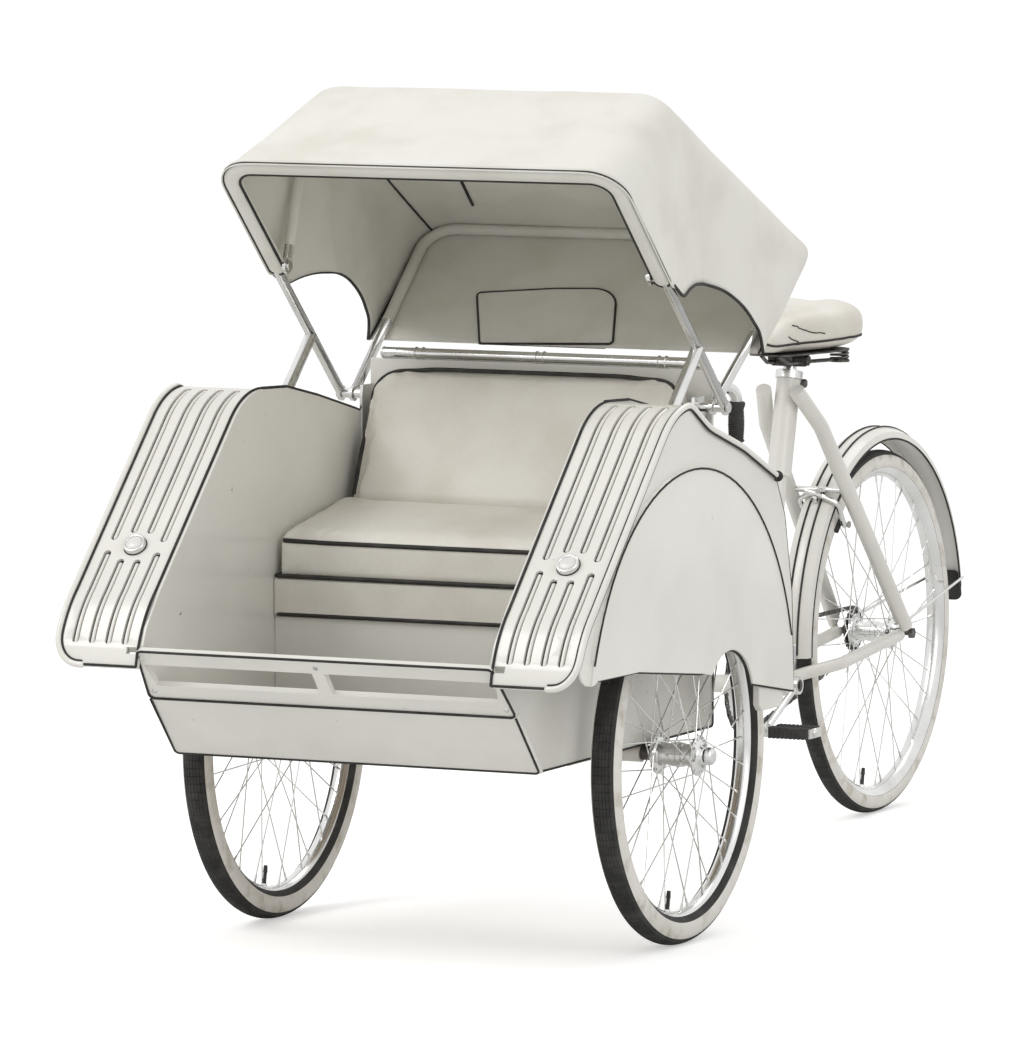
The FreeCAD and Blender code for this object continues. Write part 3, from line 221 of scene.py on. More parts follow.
def sidewallFinish():  # pale sidewall, dusted and rubbed
    made, place = surface("paleSidewall", {"Specular IOR Level": 0.3})
    dirt = place.noise(30, 6)
    paint = dirt.over(0.62, 0.14).blend(tone(0.78, 0.76, 0.71), tone(0.55, 0.51, 0.44))
    paint = (place.noise(7, 3).over(0.6, 0.2) * 0.35).blend(paint, tone(0.60, 0.57, 0.50))
    return coat(made, paint, 0.55 + dirt * 0.3, place.noise(300, 2), 0.00012, 0.5)


def vinylFinish():  # pale seat vinyl with a leather grain
    made, place = surface("paleVinyl", {"Specular IOR Level": 0.45, "Coat Weight": 0.08})
    grain = place.cells(420)
    wear = place.noise(6, 4)
    paint = wear.over(0.58, 0.22).blend(tone(0.77, 0.745, 0.68), tone(0.66, 0.62, 0.54))
    paint = (grain.over(0.5, 0.3) * 0.10).blend(paint, tone(0.45, 0.40, 0.33))
    creases = grain * 0.5 + place.noise(38, 3) * 1.6
    return coat(made, paint, 0.40 + wear * 0.18, creases, 0.0006, 0.55)


def canvasFinish():  # plain-woven canopy cloth, warp and weft along the piece's own map
    threads = 1500
    made, place = surface("palCanvas", {"Specular IOR Level": 0.2, "Sheen Weight": 0.15})
    cloth = place.node("UVMap", {"uv_map": "cloth"}, {})
    weave = (cloth.part("X") * threads).sine() * (cloth.part("Y") * threads).sine()
    slub = cloth.stretched(14, 240, 1).noise(1.0, 2) + cloth.stretched(240, 14, 1).noise(1.0, 2)
    paint = place.noise(9, 5).over(0.56, 0.2).blend(tone(0.80, 0.785, 0.73), tone(0.72, 0.70, 0.63))
    paint = (weave.over(0.2, 0.7) * 0.16).blend(paint, tone(0.52, 0.50, 0.44))
    return coat(made, paint, 0.78 + slub * 0.08, weave * 0.35 + slub * 0.9, 0.0005, 0.5)


def woodFinish():  # varnished floor boards with the grain along the vehicle
    made, place = surface("varnishedBoards", {"Coat Weight": 0.2})
    grain = place.stretched(60, 3, 60).noise(1.0, 5)
    rings = (place.stretched(18, 1.2, 18).noise(1.0, 3) * 40).sine()
    paint = grain.over(0.5, 0.25).blend(tone(0.52, 0.40, 0.27), tone(0.36, 0.26, 0.16))
    paint = (rings.over(0.4, 0.5) * 0.35).blend(paint, tone(0.27, 0.18, 0.11))
    return coat(made, paint, 0.42 + grain * 0.2, grain, 0.0003, 0.6)


def lensFinish():  # moulded amber-white lamp glass
    made, place = surface("ribbedLens", {"Coat Weight": 0.6, "Coat Roughness": 0.05})
    ribs = (place.part("X") * 2200).sine()
    paint = ribs.over(0.2, 0.6).blend(tone(0.80, 0.79, 0.76), tone(0.66, 0.65, 0.62))
    return coat(made, paint, 0.16 + place.noise(40, 2) * 0.1, ribs, 0.0003, 0.5)


def reflectorFinish():  # red moulded reflector with small prisms
    made, place = surface("redReflector", {"Coat Weight": 0.7})
    prisms = place.cells(520)
    paint = prisms.over(0.4, 0.3).blend(tone(0.55, 0.02, 0.015), tone(0.24, 0.008, 0.006))
    return coat(made, paint, 0.12 + prisms * 0.2, prisms, 0.0008, 0.6)


enamel = enamelFinish("creamEnamel", tone(0.79, 0.775, 0.72))
frameEnamel = enamelFinish("frameEnamel", tone(0.77, 0.755, 0.70))
chrome = chromeFinish()
oiled = darkSteelFinish()
treadRubber = rubberFinish("treadRubber", tone(0.028, 0.027, 0.026), 240)
gripRubber = rubberFinish("gripRubber", tone(0.035, 0.034, 0.033), 320)
# dark rubber for beads and trims; the same finish makes the painted shadow round the lamp bosses and the
# painted crease shade on the skirts
beadRubberAndPaintedShade = rubberFinish("beadRubberAndPaintedShade", tone(0.022, 0.021, 0.020), 300)
# dark vinyl piping; the same finish makes the painted shade lines in the saddle's creases
vinylPipingAndCreaseShade = rubberFinish("vinylPipingAndCreaseShade", tone(0.03, 0.028, 0.026), 260)
clothPiping = rubberFinish("clothPiping", tone(0.03, 0.028, 0.026), 260)
sidewall = sidewallFinish()
vinyl = vinylFinish()
canvas = canvasFinish()
boards = woodFinish()
lens = lensFinish()
reflector = reflectorFinish()
print("finishes mixed")


def objectOf(name, shape):
    mesh = bpy.data.meshes.new(name)
    shape.to_mesh(mesh)
    shape.free()
    obj = bpy.data.objects.new(name, mesh)
    scene.collection.objects.link(obj)
    return obj


def clad(obj, finishes, body, levels):  # finishes and smooth shading, and a body that carries it
    for finish in finishes:
        obj.data.materials.append(finish)
    obj.data.polygons.foreach_set("use_smooth", [True] * len(obj.data.polygons))
    if levels:
        rounder = obj.modifiers.new("rounder", "SUBSURF")
        rounder.levels = levels
        rounder.render_levels = levels
    if body:
        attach(obj, body)
    return obj


def piece(name, shape, finishes, body, bevel=0.0, angle=35, levels=0):  # a bmesh made into an object
    obj = objectOf(name, shape)
    obj.data.set_sharp_from_angle(angle=math.radians(angle))
    if bevel:
        edges = obj.modifiers.new("edges", "BEVEL")
        edges.width = bevel
        edges.segments = 2
        edges.limit_method = "ANGLE"
        edges.angle_limit = math.radians(angle)
        edges.harden_normals = True
    return clad(obj, finishes, body, levels)


def mergedCopy(node):
    shape = bmesh.new()
    shape.from_mesh(frame["nodes"][node].data)
    bmesh.ops.remove_doubles(shape, verts=shape.verts, dist=0.00001)
    bmesh.ops.dissolve_limit(shape, angle_limit=math.radians(0.4), verts=shape.verts,
                             edges=shape.edges)
    return shape


def dress(node, finish, bevel=0.0, angle=35, name=None):  # a node's own form with its edges eased
    body = frame["nodes"][node]["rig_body"]
    obj = piece(name or node + "_dressed", mergedCopy(node), [finish], body, bevel, angle)
    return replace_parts(obj, node)


def absorb(whole, part, material=0, matrix=None):  # adds one bmesh to another
    for face in part.faces:
        face.material_index = material
    carrier = bpy.data.meshes.new("carrier")
    part.to_mesh(carrier)
    part.free()
    if matrix:
        carrier.transform(matrix)
    whole.from_mesh(carrier)
    bpy.data.meshes.remove(carrier)


def lathe(rows, steps):  # closed section of (across, radius) rows turned about the x axis
    shape = bmesh.new()
    verts = [shape.verts.new((x, 0, radius)) for x, radius in rows]
    edges = [shape.edges.new((verts[i - 1], verts[i])) for i in range(len(verts))]
    bmesh.ops.spin(shape, geom=verts + edges, cent=(0, 0, 0), axis=(1, 0, 0), dvec=(0, 0, 0),
                   angle=math.tau, steps=steps, use_merge=True)
    bmesh.ops.remove_doubles(shape, verts=shape.verts, dist=0.000001)
    bmesh.ops.recalc_face_normals(shape, faces=shape.faces)
    return shape


def along(direction):  # turns +Z to a direction
    return Vector(direction).to_track_quat("Z", "Y").to_matrix().to_4x4()


def bar(start, end, radius, sides=12, endRadius=None):
    shape = bmesh.new()
    way = end - start
    bmesh.ops.create_cone(shape, cap_ends=True, segments=sides, radius1=radius,
                          radius2=radius if endRadius is None else endRadius, depth=way.length,
                          matrix=Matrix.Translation((start + end) / 2) @ along(way))
    return shape


def dome(centre, radius, way, flatten=1.0, sides=16):  # squashed ball, short along one way
    shape = bmesh.new()
    squash = Matrix.Diagonal((1, 1, flatten, 1))
    bmesh.ops.create_uvsphere(shape, u_segments=sides, v_segments=sides // 2, radius=radius,
                              matrix=Matrix.Translation(centre) @ along(way) @ squash)
    return shape


def hoop(centre, way, radius, thickness, steps=32, sides=8):  # ring of round wire
    rows = [(thickness * math.cos(math.tau * i / sides),
             radius + thickness * math.sin(math.tau * i / sides)) for i in range(sides)]
    shape = lathe(rows, steps)
    turn = Vector(way).to_track_quat("X", "Z").to_matrix().to_4x4()
    bmesh.ops.transform(shape, matrix=Matrix.Translation(centre) @ turn, verts=shape.verts)
    return shape


def block(low, high):
    shape = bmesh.new()
    size = high - low
    bmesh.ops.create_cube(shape, size=1,
                          matrix=Matrix.Translation((low + high) / 2) @ Matrix.Diagonal((*size, 1)))
    return shape


def pipe(points, radius, closed=False, resolution=2):  # round section led along points
    curve = bpy.data.curves.new("run", "CURVE")
    curve.dimensions = "3D"
    curve.bevel_depth = radius
    curve.bevel_resolution = resolution
    curve.use_fill_caps = True
    spline = curve.splines.new("POLY")
    spline.points.add(len(points) - 1)
    for point, place in zip(spline.points, points):
        point.co = (*place, 1)
    spline.use_cyclic_u = closed
    carrier = bpy.data.objects.new("run", curve)
    mesh = bpy.data.meshes.new_from_object(carrier)
    shape = bmesh.new()
    shape.from_mesh(mesh)
    bmesh.ops.remove_doubles(shape, verts=shape.verts, dist=0.00001)
    bpy.data.objects.remove(carrier)
    bpy.data.curves.remove(curve)
    bpy.data.meshes.remove(mesh)
    return shape


def plate(ring, way):  # a flat outline given its thickness
    shape = bmesh.new()
    shape.faces.new([shape.verts.new(p) for p in ring])
    made = bmesh.ops.extrude_face_region(shape, geom=shape.faces[:])["geom"]
    moved = [v for v in made if isinstance(v, bmesh.types.BMVert)]
    bmesh.ops.translate(shape, vec=way, verts=moved)
    bmesh.ops.recalc_face_normals(shape, faces=shape.faces)
    return shape


def mapped(shape, place):  # lays the cloth's own map, in metres, from each vertex
    sheet = shape.loops.layers.uv.new("cloth")
    for face in shape.faces:
        for loop in face.loops:
            loop[sheet].uv = place(loop.vert)


def arcRun(x, centre, radius, start, end, steps):  # side-view arc, turned from aft in degrees
    turns = [math.radians(start + (end - start) * i / steps) for i in range(steps + 1)]
    return [Vector((x, centre.y + radius * math.cos(t), centre.z + radius * math.sin(t))) for t in turns]


def rounded(points, bend, steps=8, closed=False):  # a run whose inner corners are arcs
    count = len(points)
    inner = range(count) if closed else range(1, count - 1)
    run = [] if closed else [points[0]]
    for i in inner:
        before, corner, after = points[i - 1], points[i], points[(i + 1) % count]
        back = (before - corner).normalized()
        ahead = (after - corner).normalized()
        half = back.angle(ahead) / 2
        if half > math.pi / 2 - 0.001:  # no corner to round
            run.append(corner)
            continue
        reach = min(bend / math.tan(half), (before - corner).length / 2.01,
                    (after - corner).length / 2.01)
        radius = reach * math.tan(half)
        centre = corner + (back + ahead).normalized() * (radius / math.sin(half))
        first, last = corner + back * reach - centre, corner + ahead * reach - centre
        run += [centre + first.slerp(last, step / steps) * radius for step in range(steps + 1)]
    return run if closed else run + [points[-1]]


def spaced(points, gap):  # the same run with points no further apart than the gap
    run = [points[0]]
    for start, end in zip(points, points[1:]):
        count = max(1, math.ceil((end - start).length / gap))
        run += [start.lerp(end, i / count) for i in range(1, count + 1)]
    return run


def eased(points, passes=6):  # the same run with its small wanderings averaged out
    for _ in range(passes):
        middle = [(a + b * 2 + c) / 4 for a, b, c in zip(points, points[1:], points[2:])]
        points = [points[0]] + middle + [points[-1]]
    return points


def mirrored(points):
    return [Vector((-p.x, p.y, p.z)) for p in points]


def surfaceOf(obj):
    shape = bmesh.new()
    shape.from_mesh(obj.data)
    tree = BVHTree.FromBMesh(shape)
    shape.free()
    return tree


def settled(points, tree, lift):  # moves points onto a surface, standing proud by the lift
    moved = []
    for point in points:
        place, normal, _, _ = tree.find_nearest(point)
        moved.append(place + normal * lift)
    return moved


def pressed(points, tree, way, lift):  # drops points onto a surface along one way
    moved = []
    for point in points:
        place, _, _, _ = tree.ray_cast(point + way * 0.06, -way, 0.1)
        moved.append((place or point) + way * lift)
    return eased(moved, 8)


wheelLook = {"steps": 144, "spokes": 36, "spokeRadius": 0.0013, "nippleRadius": 0.0026,
             "nippleLength": 0.014, "rimHalf": 0.0185, "treadLift": 0.0011, "treadAngle": 42,
             "paleFrom": 52, "paleTo": 118, "flangeInset": 0.013,
             "valveTurn": -100}


def makeTyre(name, node, body):
    low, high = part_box(node)
    section = (high.x - low.x) / 2
    ring = (high.z - low.z) / 2 - wheelLook["treadLift"] - section
    half = [7, 19, 31, 42, 52, 64, 76, 90, 104, 118, 132, 148]  # degrees round the tyre's section
    rows = []
    for degrees in [-angle for angle in reversed(half)] + half:
        turn = math.radians(degrees)
        rib = 0.0006 if abs(degrees) in (64, 104) else 0
        reach = section * 0.985 + rib if abs(degrees) > wheelLook["treadAngle"] else section
        rows.append((reach * math.sin(turn), ring + reach * math.cos(turn)))
    shape = lathe(rows, wheelLook["steps"])
    blocks = []
    for face in shape.faces:
        middle = face.calc_center_median()
        lean = abs(math.degrees(math.atan2(middle.x, math.hypot(middle.y, middle.z) - ring)))
        if wheelLook["paleFrom"] < lean < wheelLook["paleTo"]:
            face.material_index = 1
        if lean < wheelLook["treadAngle"]:
            blocks.append(face)
    bmesh.ops.inset_individual(shape, faces=blocks, thickness=0.0011, depth=wheelLook["treadLift"])
    bmesh.ops.translate(shape, vec=(low + high) / 2, verts=shape.verts)
    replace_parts(piece(name, shape, [treadRubber, sidewall], body, angle=50), node)


def bothSides(rows):  # a section's rows, then the same ones mirrored
    return rows + [(-x, radius) for x, radius in reversed(rows)]


def makeWheel(name, node, body, hub):
    low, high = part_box(node)
    rim, half = (high.z - low.z) / 2, wheelLook["rimHalf"]
    lip = rim + 0.006
    rimRows = bothSides([
        (half * 0.45, rim - 0.005), (half - 0.003, rim - 0.001), (half - 0.0022, lip + 0.001),
        (half, lip), (half + 0.0012, lip - 0.003), (half * 0.96, rim - 0.003),
        (half * 0.72, rim - 0.010), (half * 0.5, rim - 0.0145), (half * 0.2, rim - 0.017)])
    whole = bmesh.new()
    absorb(whole, lathe(rimRows, wheelLook["steps"]))
    end = (high.x - low.x) / 2
    flange, shell, bore = hub["flange"], hub["shell"], hub["bore"]
    face = end - wheelLook["flangeInset"]
    hubRows = bothSides([
        (0.0105, shell + 0.002), (0.012, shell), (face - 0.010, shell), (face - 0.005, shell * 1.12),
        (face - 0.0035, flange - 0.003), (face - 0.0025, flange), (face + 0.0005, flange),
        (face + 0.0015, flange - 0.003), (face + 0.002, shell * 1.05), (face + 0.005, shell * 0.86),
        (end - 0.003, shell * 0.8), (end - 0.001, shell * 0.72), (end, bore + 0.002), (end, bore)])
    absorb(whole, lathe(hubRows, 48))
    absorb(whole, hoop((0, 0, 0), across, shell + 0.002, 0.0018, 40, 6))
    pierce, seatReach, nipple = flange - 0.0045, rim - 0.0155, wheelLook["nippleRadius"]
    for number in range(wheelLook["spokes"]):
        side = 1 if number % 2 else -1
        lean = 1 if (number // 2) % 2 else -1
        rimTurn = math.tau * number / wheelLook["spokes"]
        hubTurn = rimTurn + lean * math.radians(60)
        skin = side * (face - 0.001 + lean * 0.0030)
        head = Vector((skin, pierce * math.cos(hubTurn), pierce * math.sin(hubTurn)))
        seat = Vector((side * 0.0042, seatReach * math.cos(rimTurn), seatReach * math.sin(rimTurn)))
        inward = (head - seat).normalized()
        absorb(whole, bar(head, seat, wheelLook["spokeRadius"], 6))
        absorb(whole, bar(seat - inward * 0.001, seat + inward * wheelLook["nippleLength"],
                          nipple, 6, nipple * 0.75))
        elbow = Vector((side * (face - 0.001), head.y, head.z))
        outward = across * side * lean
        absorb(whole, bar(elbow - across * 0.0042, elbow + across * 0.0042, 0.0017, 6))
        absorb(whole, bar(elbow - outward * 0.0034, elbow - outward * 0.0046, 0.0028, 8))
    turn = math.radians(wheelLook["valveTurn"])
    out = Vector((0, math.cos(turn), math.sin(turn)))
    foot = out * (rim - 0.0165)
    absorb(whole, bar(foot, foot - out * 0.026, 0.0034, 10), 1)
    absorb(whole, bar(foot - out * 0.024, foot - out * 0.037, 0.0043, 10, 0.0034), 1)
    absorb(whole, bar(foot + out * 0.001, foot - out * 0.004, 0.0052, 6))
    bmesh.ops.translate(whole, vec=(low + high) / 2, verts=whole.verts)
    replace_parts(piece(name, whole, [chrome, gripRubber], body, angle=40), node)


frontHub = {"flange": 0.036, "shell": 0.0195, "bore": 0.0085}
rearHub = {"flange": 0.033, "shell": 0.0178, "bore": 0.0055}
for side in ("left", "right"):
    makeTyre(f"tyre_{side}", f"front_tyre_{side}", f"{side}_wheel")
    makeWheel(f"wheel_{side}", f"front_wheel_{side}", f"{side}_wheel", frontHub)
makeTyre("tyre_back", "rear_tyre", "back_wheel")
makeWheel("wheel_back", "rear_wheel", "back_wheel", rearHub)
print("wheels built")


for node in ("chassis_frame", "kingpin_bracket"):
    dress(node, frameEnamel, 0.0012)
for node in ("front_axle", "kingpin", "front_axle_nuts", "rear_axle", "rear_axle_nuts"):
    dress(node, oiled, 0.0006)


def makeHubCaps():  # pressed dust caps over the front axle's ends
    low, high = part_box("front_axle")
    cap = 0.0155
    rows = [(-0.010, 0.0128), (-0.010, cap), (-0.006, cap + 0.001), (-0.004, cap), (0.000, cap * 0.96),
            (0.0022, cap * 0.8), (0.0035, cap * 0.45), (0.004, 0.0004), (0.0025, 0.0004),
            (0.0010, cap * 0.6), (-0.001, 0.0128)]
    for side, end, sign in (("left", high.x, 1), ("right", low.x, -1)):
        shape = lathe([(x * sign, r) for x, r in rows], 40)
        bmesh.ops.translate(shape, vec=Vector((end + sign * 0.0035, frontAxle.y, frontAxle.z)),
                            verts=shape.verts)
        piece(f"hub_cap_{side}", shape, [chrome], "carriage", angle=40)


makeHubCaps()


def makeSteeringDetails():  # grease nipple, locknut and bolts at the kingpin
    look = {"aside": 0.052, "inset": 0.014, "stand": 0.0062}
    low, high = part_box("kingpin_bracket")
    top = Vector((0, middleOf("kingpin").y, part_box("kingpin")[1].z))
    whole = bmesh.new()
    absorb(whole, bar(top, top + upward * 0.008, 0.012, 6))
    absorb(whole, dome(top + upward * 0.010, 0.004, upward))
    for x in (-look["aside"], look["aside"]):
        for z in (low.z + look["inset"], high.z - look["inset"]):
            place = Vector((x, low.y + look["stand"], z))
            absorb(whole, bar(place, place + aftward * 0.005, 0.0075, 6))
            absorb(whole, bar(place, place + aftward * 0.009, 0.0038, 8))
    piece("kingpin_fastenings", whole, [oiled], "carriage", 0.0005, 30)


makeSteeringDetails()
print("chassis dressed")


for node in ("side_wall_left", "side_wall_right", "rear_panel", "kick_panel"):
    dress(node, enamel, 0.0016, 40)
dress("seat_box", enamel, 0.0025, 40)
for side in ("left", "right"):
    dress(f"skirt_bracket_{side}", enamel, 0.003, 40)

tubLook = {"barHalf": 0.3385, "kickHalf": 0.350, "skirtOuter": 0.500, "beadRadius": 0.0058,
           "trimRadius": 0.0030, "strips": 4, "stripPitch": 0.032, "stripHalf": 0.0066,
           "stripRib": 0.0038, "bossRadius": 0.020, "bossShare": 0.746, "ribGap": 0.0072}
# side view of the fender: aft of the front axle, above the floor
foot, footBow, slopeLow, slopeHigh = (-0.652, 0.520), (-0.626, 0.587), (-0.578, 0.643), (-0.289, 0.921)
upperBow, crown = (-0.238, 0.954), (-0.178, 0.966)
outerTop = [(-0.106, 0.922), (0.044, 0.875), (0.195, 0.812)]
outerRear = [(0.236, 0.740), (0.268, 0.600)]
skirtRear = (0.278, 0.424)
archCentre, archRadius = (-0.170, 0.420), 0.437
notchCentre, notchRadius = (-0.012, 0.420), 0.105


def sideRun(x, rows):
    return [at(x, aft, z) for aft, z in rows]


def through(x, first, via, last, steps=10):  # arc through three side-view points
    a, b, c = (Vector(p) for p in (first, via, last))
    d = 2 * (a.x * (b.y - c.y) + b.x * (c.y - a.y) + c.x * (a.y - b.y))
    squares = [p.length_squared for p in (a, b, c)]
    centre = Vector((
        (squares[0] * (b.y - c.y) + squares[1] * (c.y - a.y) + squares[2] * (a.y - b.y)) / d,
        (squares[0] * (c.x - b.x) + squares[1] * (a.x - c.x) + squares[2] * (b.x - a.x)) / d))
    radius = (a - centre).length
    start = math.atan2(a.y - centre.y, a.x - centre.x)
    turns = [math.atan2(p.y - centre.y, p.x - centre.x) - start for p in (b, c)]
    wrapped = [math.remainder(t, math.tau) for t in turns]
    sweep = wrapped[1]
    if wrapped[0] * sweep < 0 or abs(wrapped[0]) > abs(sweep):
        sweep -= math.copysign(math.tau, sweep)
    return [at(x, centre.x + radius * math.cos(start + sweep * i / steps),
               centre.y + radius * math.sin(start + sweep * i / steps)) for i in range(steps + 1)]


def bandRun(x):  # the front strip from its foot to the crown
    return (through(x, foot, footBow, slopeLow) + through(x, slopeHigh, upperBow, crown))


def sunk(points, depth):  # a side-view run moved into the sheet below it
    moved = []
    for i, point in enumerate(points):
        way = (points[min(i + 1, len(points) - 1)] - points[max(i - 1, 0)]).normalized()
        moved.append(point + Vector((0, way.z, -way.y)) * depth)
    return moved


def cutRun(points, start, end):  # the stretch of a run between two distances along it
    run, gone = [], 0.0
    for first, second in zip(points, points[1:]):
        step = (second - first).length
        low, high = max(start - gone, 0.0), min(end - gone, step)
        if low < high:
            run.append(first.lerp(second, low / step))
            if high < step or second is points[-1]:
                run.append(first.lerp(second, high / step))
        gone += step
    return run


def runLength(points):
    return sum((b - a).length for a, b in zip(points, points[1:]))


def flatStrip(points, half):  # ribbon across the vehicle along a run
    shape = bmesh.new()
    verts = [shape.verts.new(point - across * half) for point in points]
    edges = [shape.edges.new(pair) for pair in zip(verts, verts[1:])]
    made = bmesh.ops.extrude_edge_only(shape, edges=edges)["geom"]
    moved = [v for v in made if isinstance(v, bmesh.types.BMVert)]
    bmesh.ops.translate(shape, vec=across * half * 2, verts=moved)
    bmesh.ops.recalc_face_normals(shape, faces=shape.faces)
    return shape


def stripEdge(sign):  # the strip's edges: down the wall, then round the foot and up the skirt
    look = {"inner": 0.3375, "outer": 0.4955, "corner": 0.050, "cornerSide": 0.443, "cornerRise": 0.567}
    curve = spaced(bandRun(0), 0.004)
    inner = [Vector((sign * look["inner"], p.y, p.z)) for p in reversed(curve)]
    outer = [Vector((sign * look["outer"], p.y, p.z)) for p in curve if p.z > look["cornerRise"]]
    turned = []
    for degrees in range(90, -1, -10):
        turn = math.radians(degrees)
        z = look["cornerRise"] - look["corner"] * math.sin(turn)
        near = min(curve, key=lambda p: abs(p.z - z))
        x = look["cornerSide"] + (look["outer"] - look["cornerSide"]) * math.cos(turn)
        turned.append(Vector((sign * x, near.y, max(z, curve[0].z))))
    return inner, turned + outer


def makeSlots(side, middle, boss):  # the strip's dark slots with a rib in each, short of the boss
    run = spaced(bandRun(middle), 0.012)
    total = runLength(run)
    lining, ribs = bmesh.new(), bmesh.new()
    for number in range(tubLook["strips"]):
        column = number - (tubLook["strips"] - 1) / 2
        shift = across * (column * tubLook["stripPitch"])
        clear = tubLook["bossRadius"] + 0.010 if abs(column) < 1 else 0.012
        for start, end in ((0.0, boss - clear), (boss + clear, total - 0.018)):
            floor = [p + shift for p in sunk(cutRun(run, start, end), 0.0056)]
            absorb(lining, flatStrip(floor, tubLook["stripHalf"]))
            low = start + tubLook["ribGap"] + (0.010 if start == 0 else 0)
            high = end - tubLook["ribGap"] - 0.002
            rib = [p + shift for p in sunk(cutRun(run, low, high), 0.0048)]
            absorb(ribs, pipe(rib, tubLook["stripRib"]))
            for tip in (rib[0], rib[-1]):
                absorb(ribs, dome(tip, tubLook["stripRib"], across, 1.0, 10))
    piece(f"fender_slot_lining_{side}", lining, [beadRubberAndPaintedShade], "carriage")
    piece(f"fender_slot_ribs_{side}", ribs, [enamel], "carriage", angle=50)


def makeLamp(side, middle, fall):  # plain ring and ribbed glass on the boss, and a dark hoop round its foot as a painted shadow
    look = {"ring": 0.0175, "wire": 0.0030, "glass": 0.0150, "shadow": 0.0205}
    slopeWay = (at(0, *slopeLow) - at(0, *slopeHigh)).normalized()
    out = Vector((0, slopeWay.z, -slopeWay.y))
    place = at(middle, *slopeHigh) + slopeWay * fall + out * 0.007
    lamp = bmesh.new()
    absorb(lamp, hoop(place + out * 0.0005, out, look["ring"], look["wire"], 40, 10))
    absorb(lamp, dome(place + out * 0.0005, look["glass"], out, 0.35, 32), 1)
    # the dark hoop at the foot of the boss is a painted shadow, not a separate part
    absorb(lamp, hoop(place - out * 0.0065, out, look["shadow"], 0.0014, 40, 6), 2)
    piece(f"lamp_ring_and_painted_shadow_{side}", lamp, [chrome, lens, beadRubberAndPaintedShade], "carriage", angle=50)


def makeBead(side, sign, skirtEdge):  # rolled bead from the foot round to the knob, dark along both sides
    look = {"line": 0.0021, "knob": 0.0100}
    run = skirtEdge + sideRun(sign * (tubLook["skirtOuter"] - 0.002), outerTop)
    run = sunk(eased(spaced(run, 0.006), 10), -0.0012)
    bead = bmesh.new()
    absorb(bead, pipe(run, tubLook["beadRadius"], resolution=3))
    for aside, depth in ((-0.0066, -0.0002), (0.0014, 0.0064)):
        line = sunk(run, depth)
        for i, point in enumerate(line):
            way = (run[min(i + 1, len(line) - 1)] - run[max(i - 1, 0)]).normalized()
            point += (across - way * way.x).normalized() * (sign * aside)
        absorb(bead, pipe(line, look["line"]), 1)
    absorb(bead, dome(run[-1], look["knob"], Vector((0, 1, -0.8))), 1)
    absorb(bead, dome(run[0], tubLook["beadRadius"], across, 1.0, 12))
    piece(f"fender_bead_{side}", bead, [enamel, beadRubberAndPaintedShade], "carriage", angle=50)


def makeFenderTrim(side, sign, wallEdge, skirtFoot):  # dark trims on the edges, and a dark line along the arch that paints the shade of its crease
    look = {"hemInset": 0.0075, "crease": 0.0019, "proud": 0.0004}
    radius = tubLook["trimRadius"]
    trim = bmesh.new()
    footEdge = [p + Vector((0, -0.001, 0.001)) for p in (wallEdge[-1], skirtFoot)]
    absorb(trim, pipe(sunk(eased(wallEdge, 6), 0.0012), radius * 0.85))
    absorb(trim, pipe(footEdge, radius * 0.8))
    hemX = sign * (tubLook["skirtOuter"] - look["hemInset"])
    lower = sideRun(hemX, [(-0.570, 0.528), (-0.399, 0.526), (-0.124, 0.495)])
    lower += arcRun(hemX, at(0, *notchCentre), notchRadius, 134, 20, 19)
    lower += sideRun(hemX, [(0.093, 0.455), skirtRear])
    rear = sideRun(hemX, [outerTop[-1]] + outerRear + [skirtRear])
    for run in (lower, rear):
        absorb(trim, pipe(spaced(run, 0.012), radius))
    # the arch's crease is only a dark line on the skirt: painted shade, standing proud by a hair
    creaseShadeX = sign * (tubLook["skirtOuter"] + look["proud"])
    crease = arcRun(creaseShadeX, at(0, *archCentre), archRadius, 14, 174, 40)
    inside = [p for p in crease if archInside(p.y - frontAxle.y, p.z)]
    absorb(trim, pipe(eased(inside, 3), look["crease"]))
    piece(f"fender_trim_and_crease_shade_{side}", trim, [beadRubberAndPaintedShade], "carriage", angle=60)


def makeFender(side, sign):
    for part, bevel, angle in (("front", 0.0012, 40), ("top", 0.0008, 50), ("skirt", 0.0014, 40)):
        dress(f"fender_{part}_{side}", enamel, bevel, angle)
    middle = middleOf(f"fender_front_{side}").x
    slope = (Vector(slopeHigh) - Vector(slopeLow)).length
    fall = slope * tubLook["bossShare"]
    slopeStart = runLength(spaced(through(middle, foot, footBow, slopeLow), 0.012))
    makeSlots(side, middle, slopeStart + slope - fall)
    makeLamp(side, middle, fall)
    wallEdge, skirtEdge = stripEdge(sign)
    makeBead(side, sign, skirtEdge)
    makeFenderTrim(side, sign, wallEdge, skirtEdge[0])


def archInside(aft, z):  # true where the arch crease lies on the skirt
    edge = [slopeLow, slopeHigh, crown] + outerTop + outerRear + [skirtRear]
    for first, second in zip(edge, edge[1:]):
        if min(first[0], second[0]) <= aft <= max(first[0], second[0]):
            share = (aft - first[0]) / (second[0] - first[0] or 1)
            return 0.46 < z < first[1] + (second[1] - first[1]) * share - 0.004
    return 0.532 < z < 0.600


for side, sign in (("left", 1), ("right", -1)):
    makeFender(side, sign)


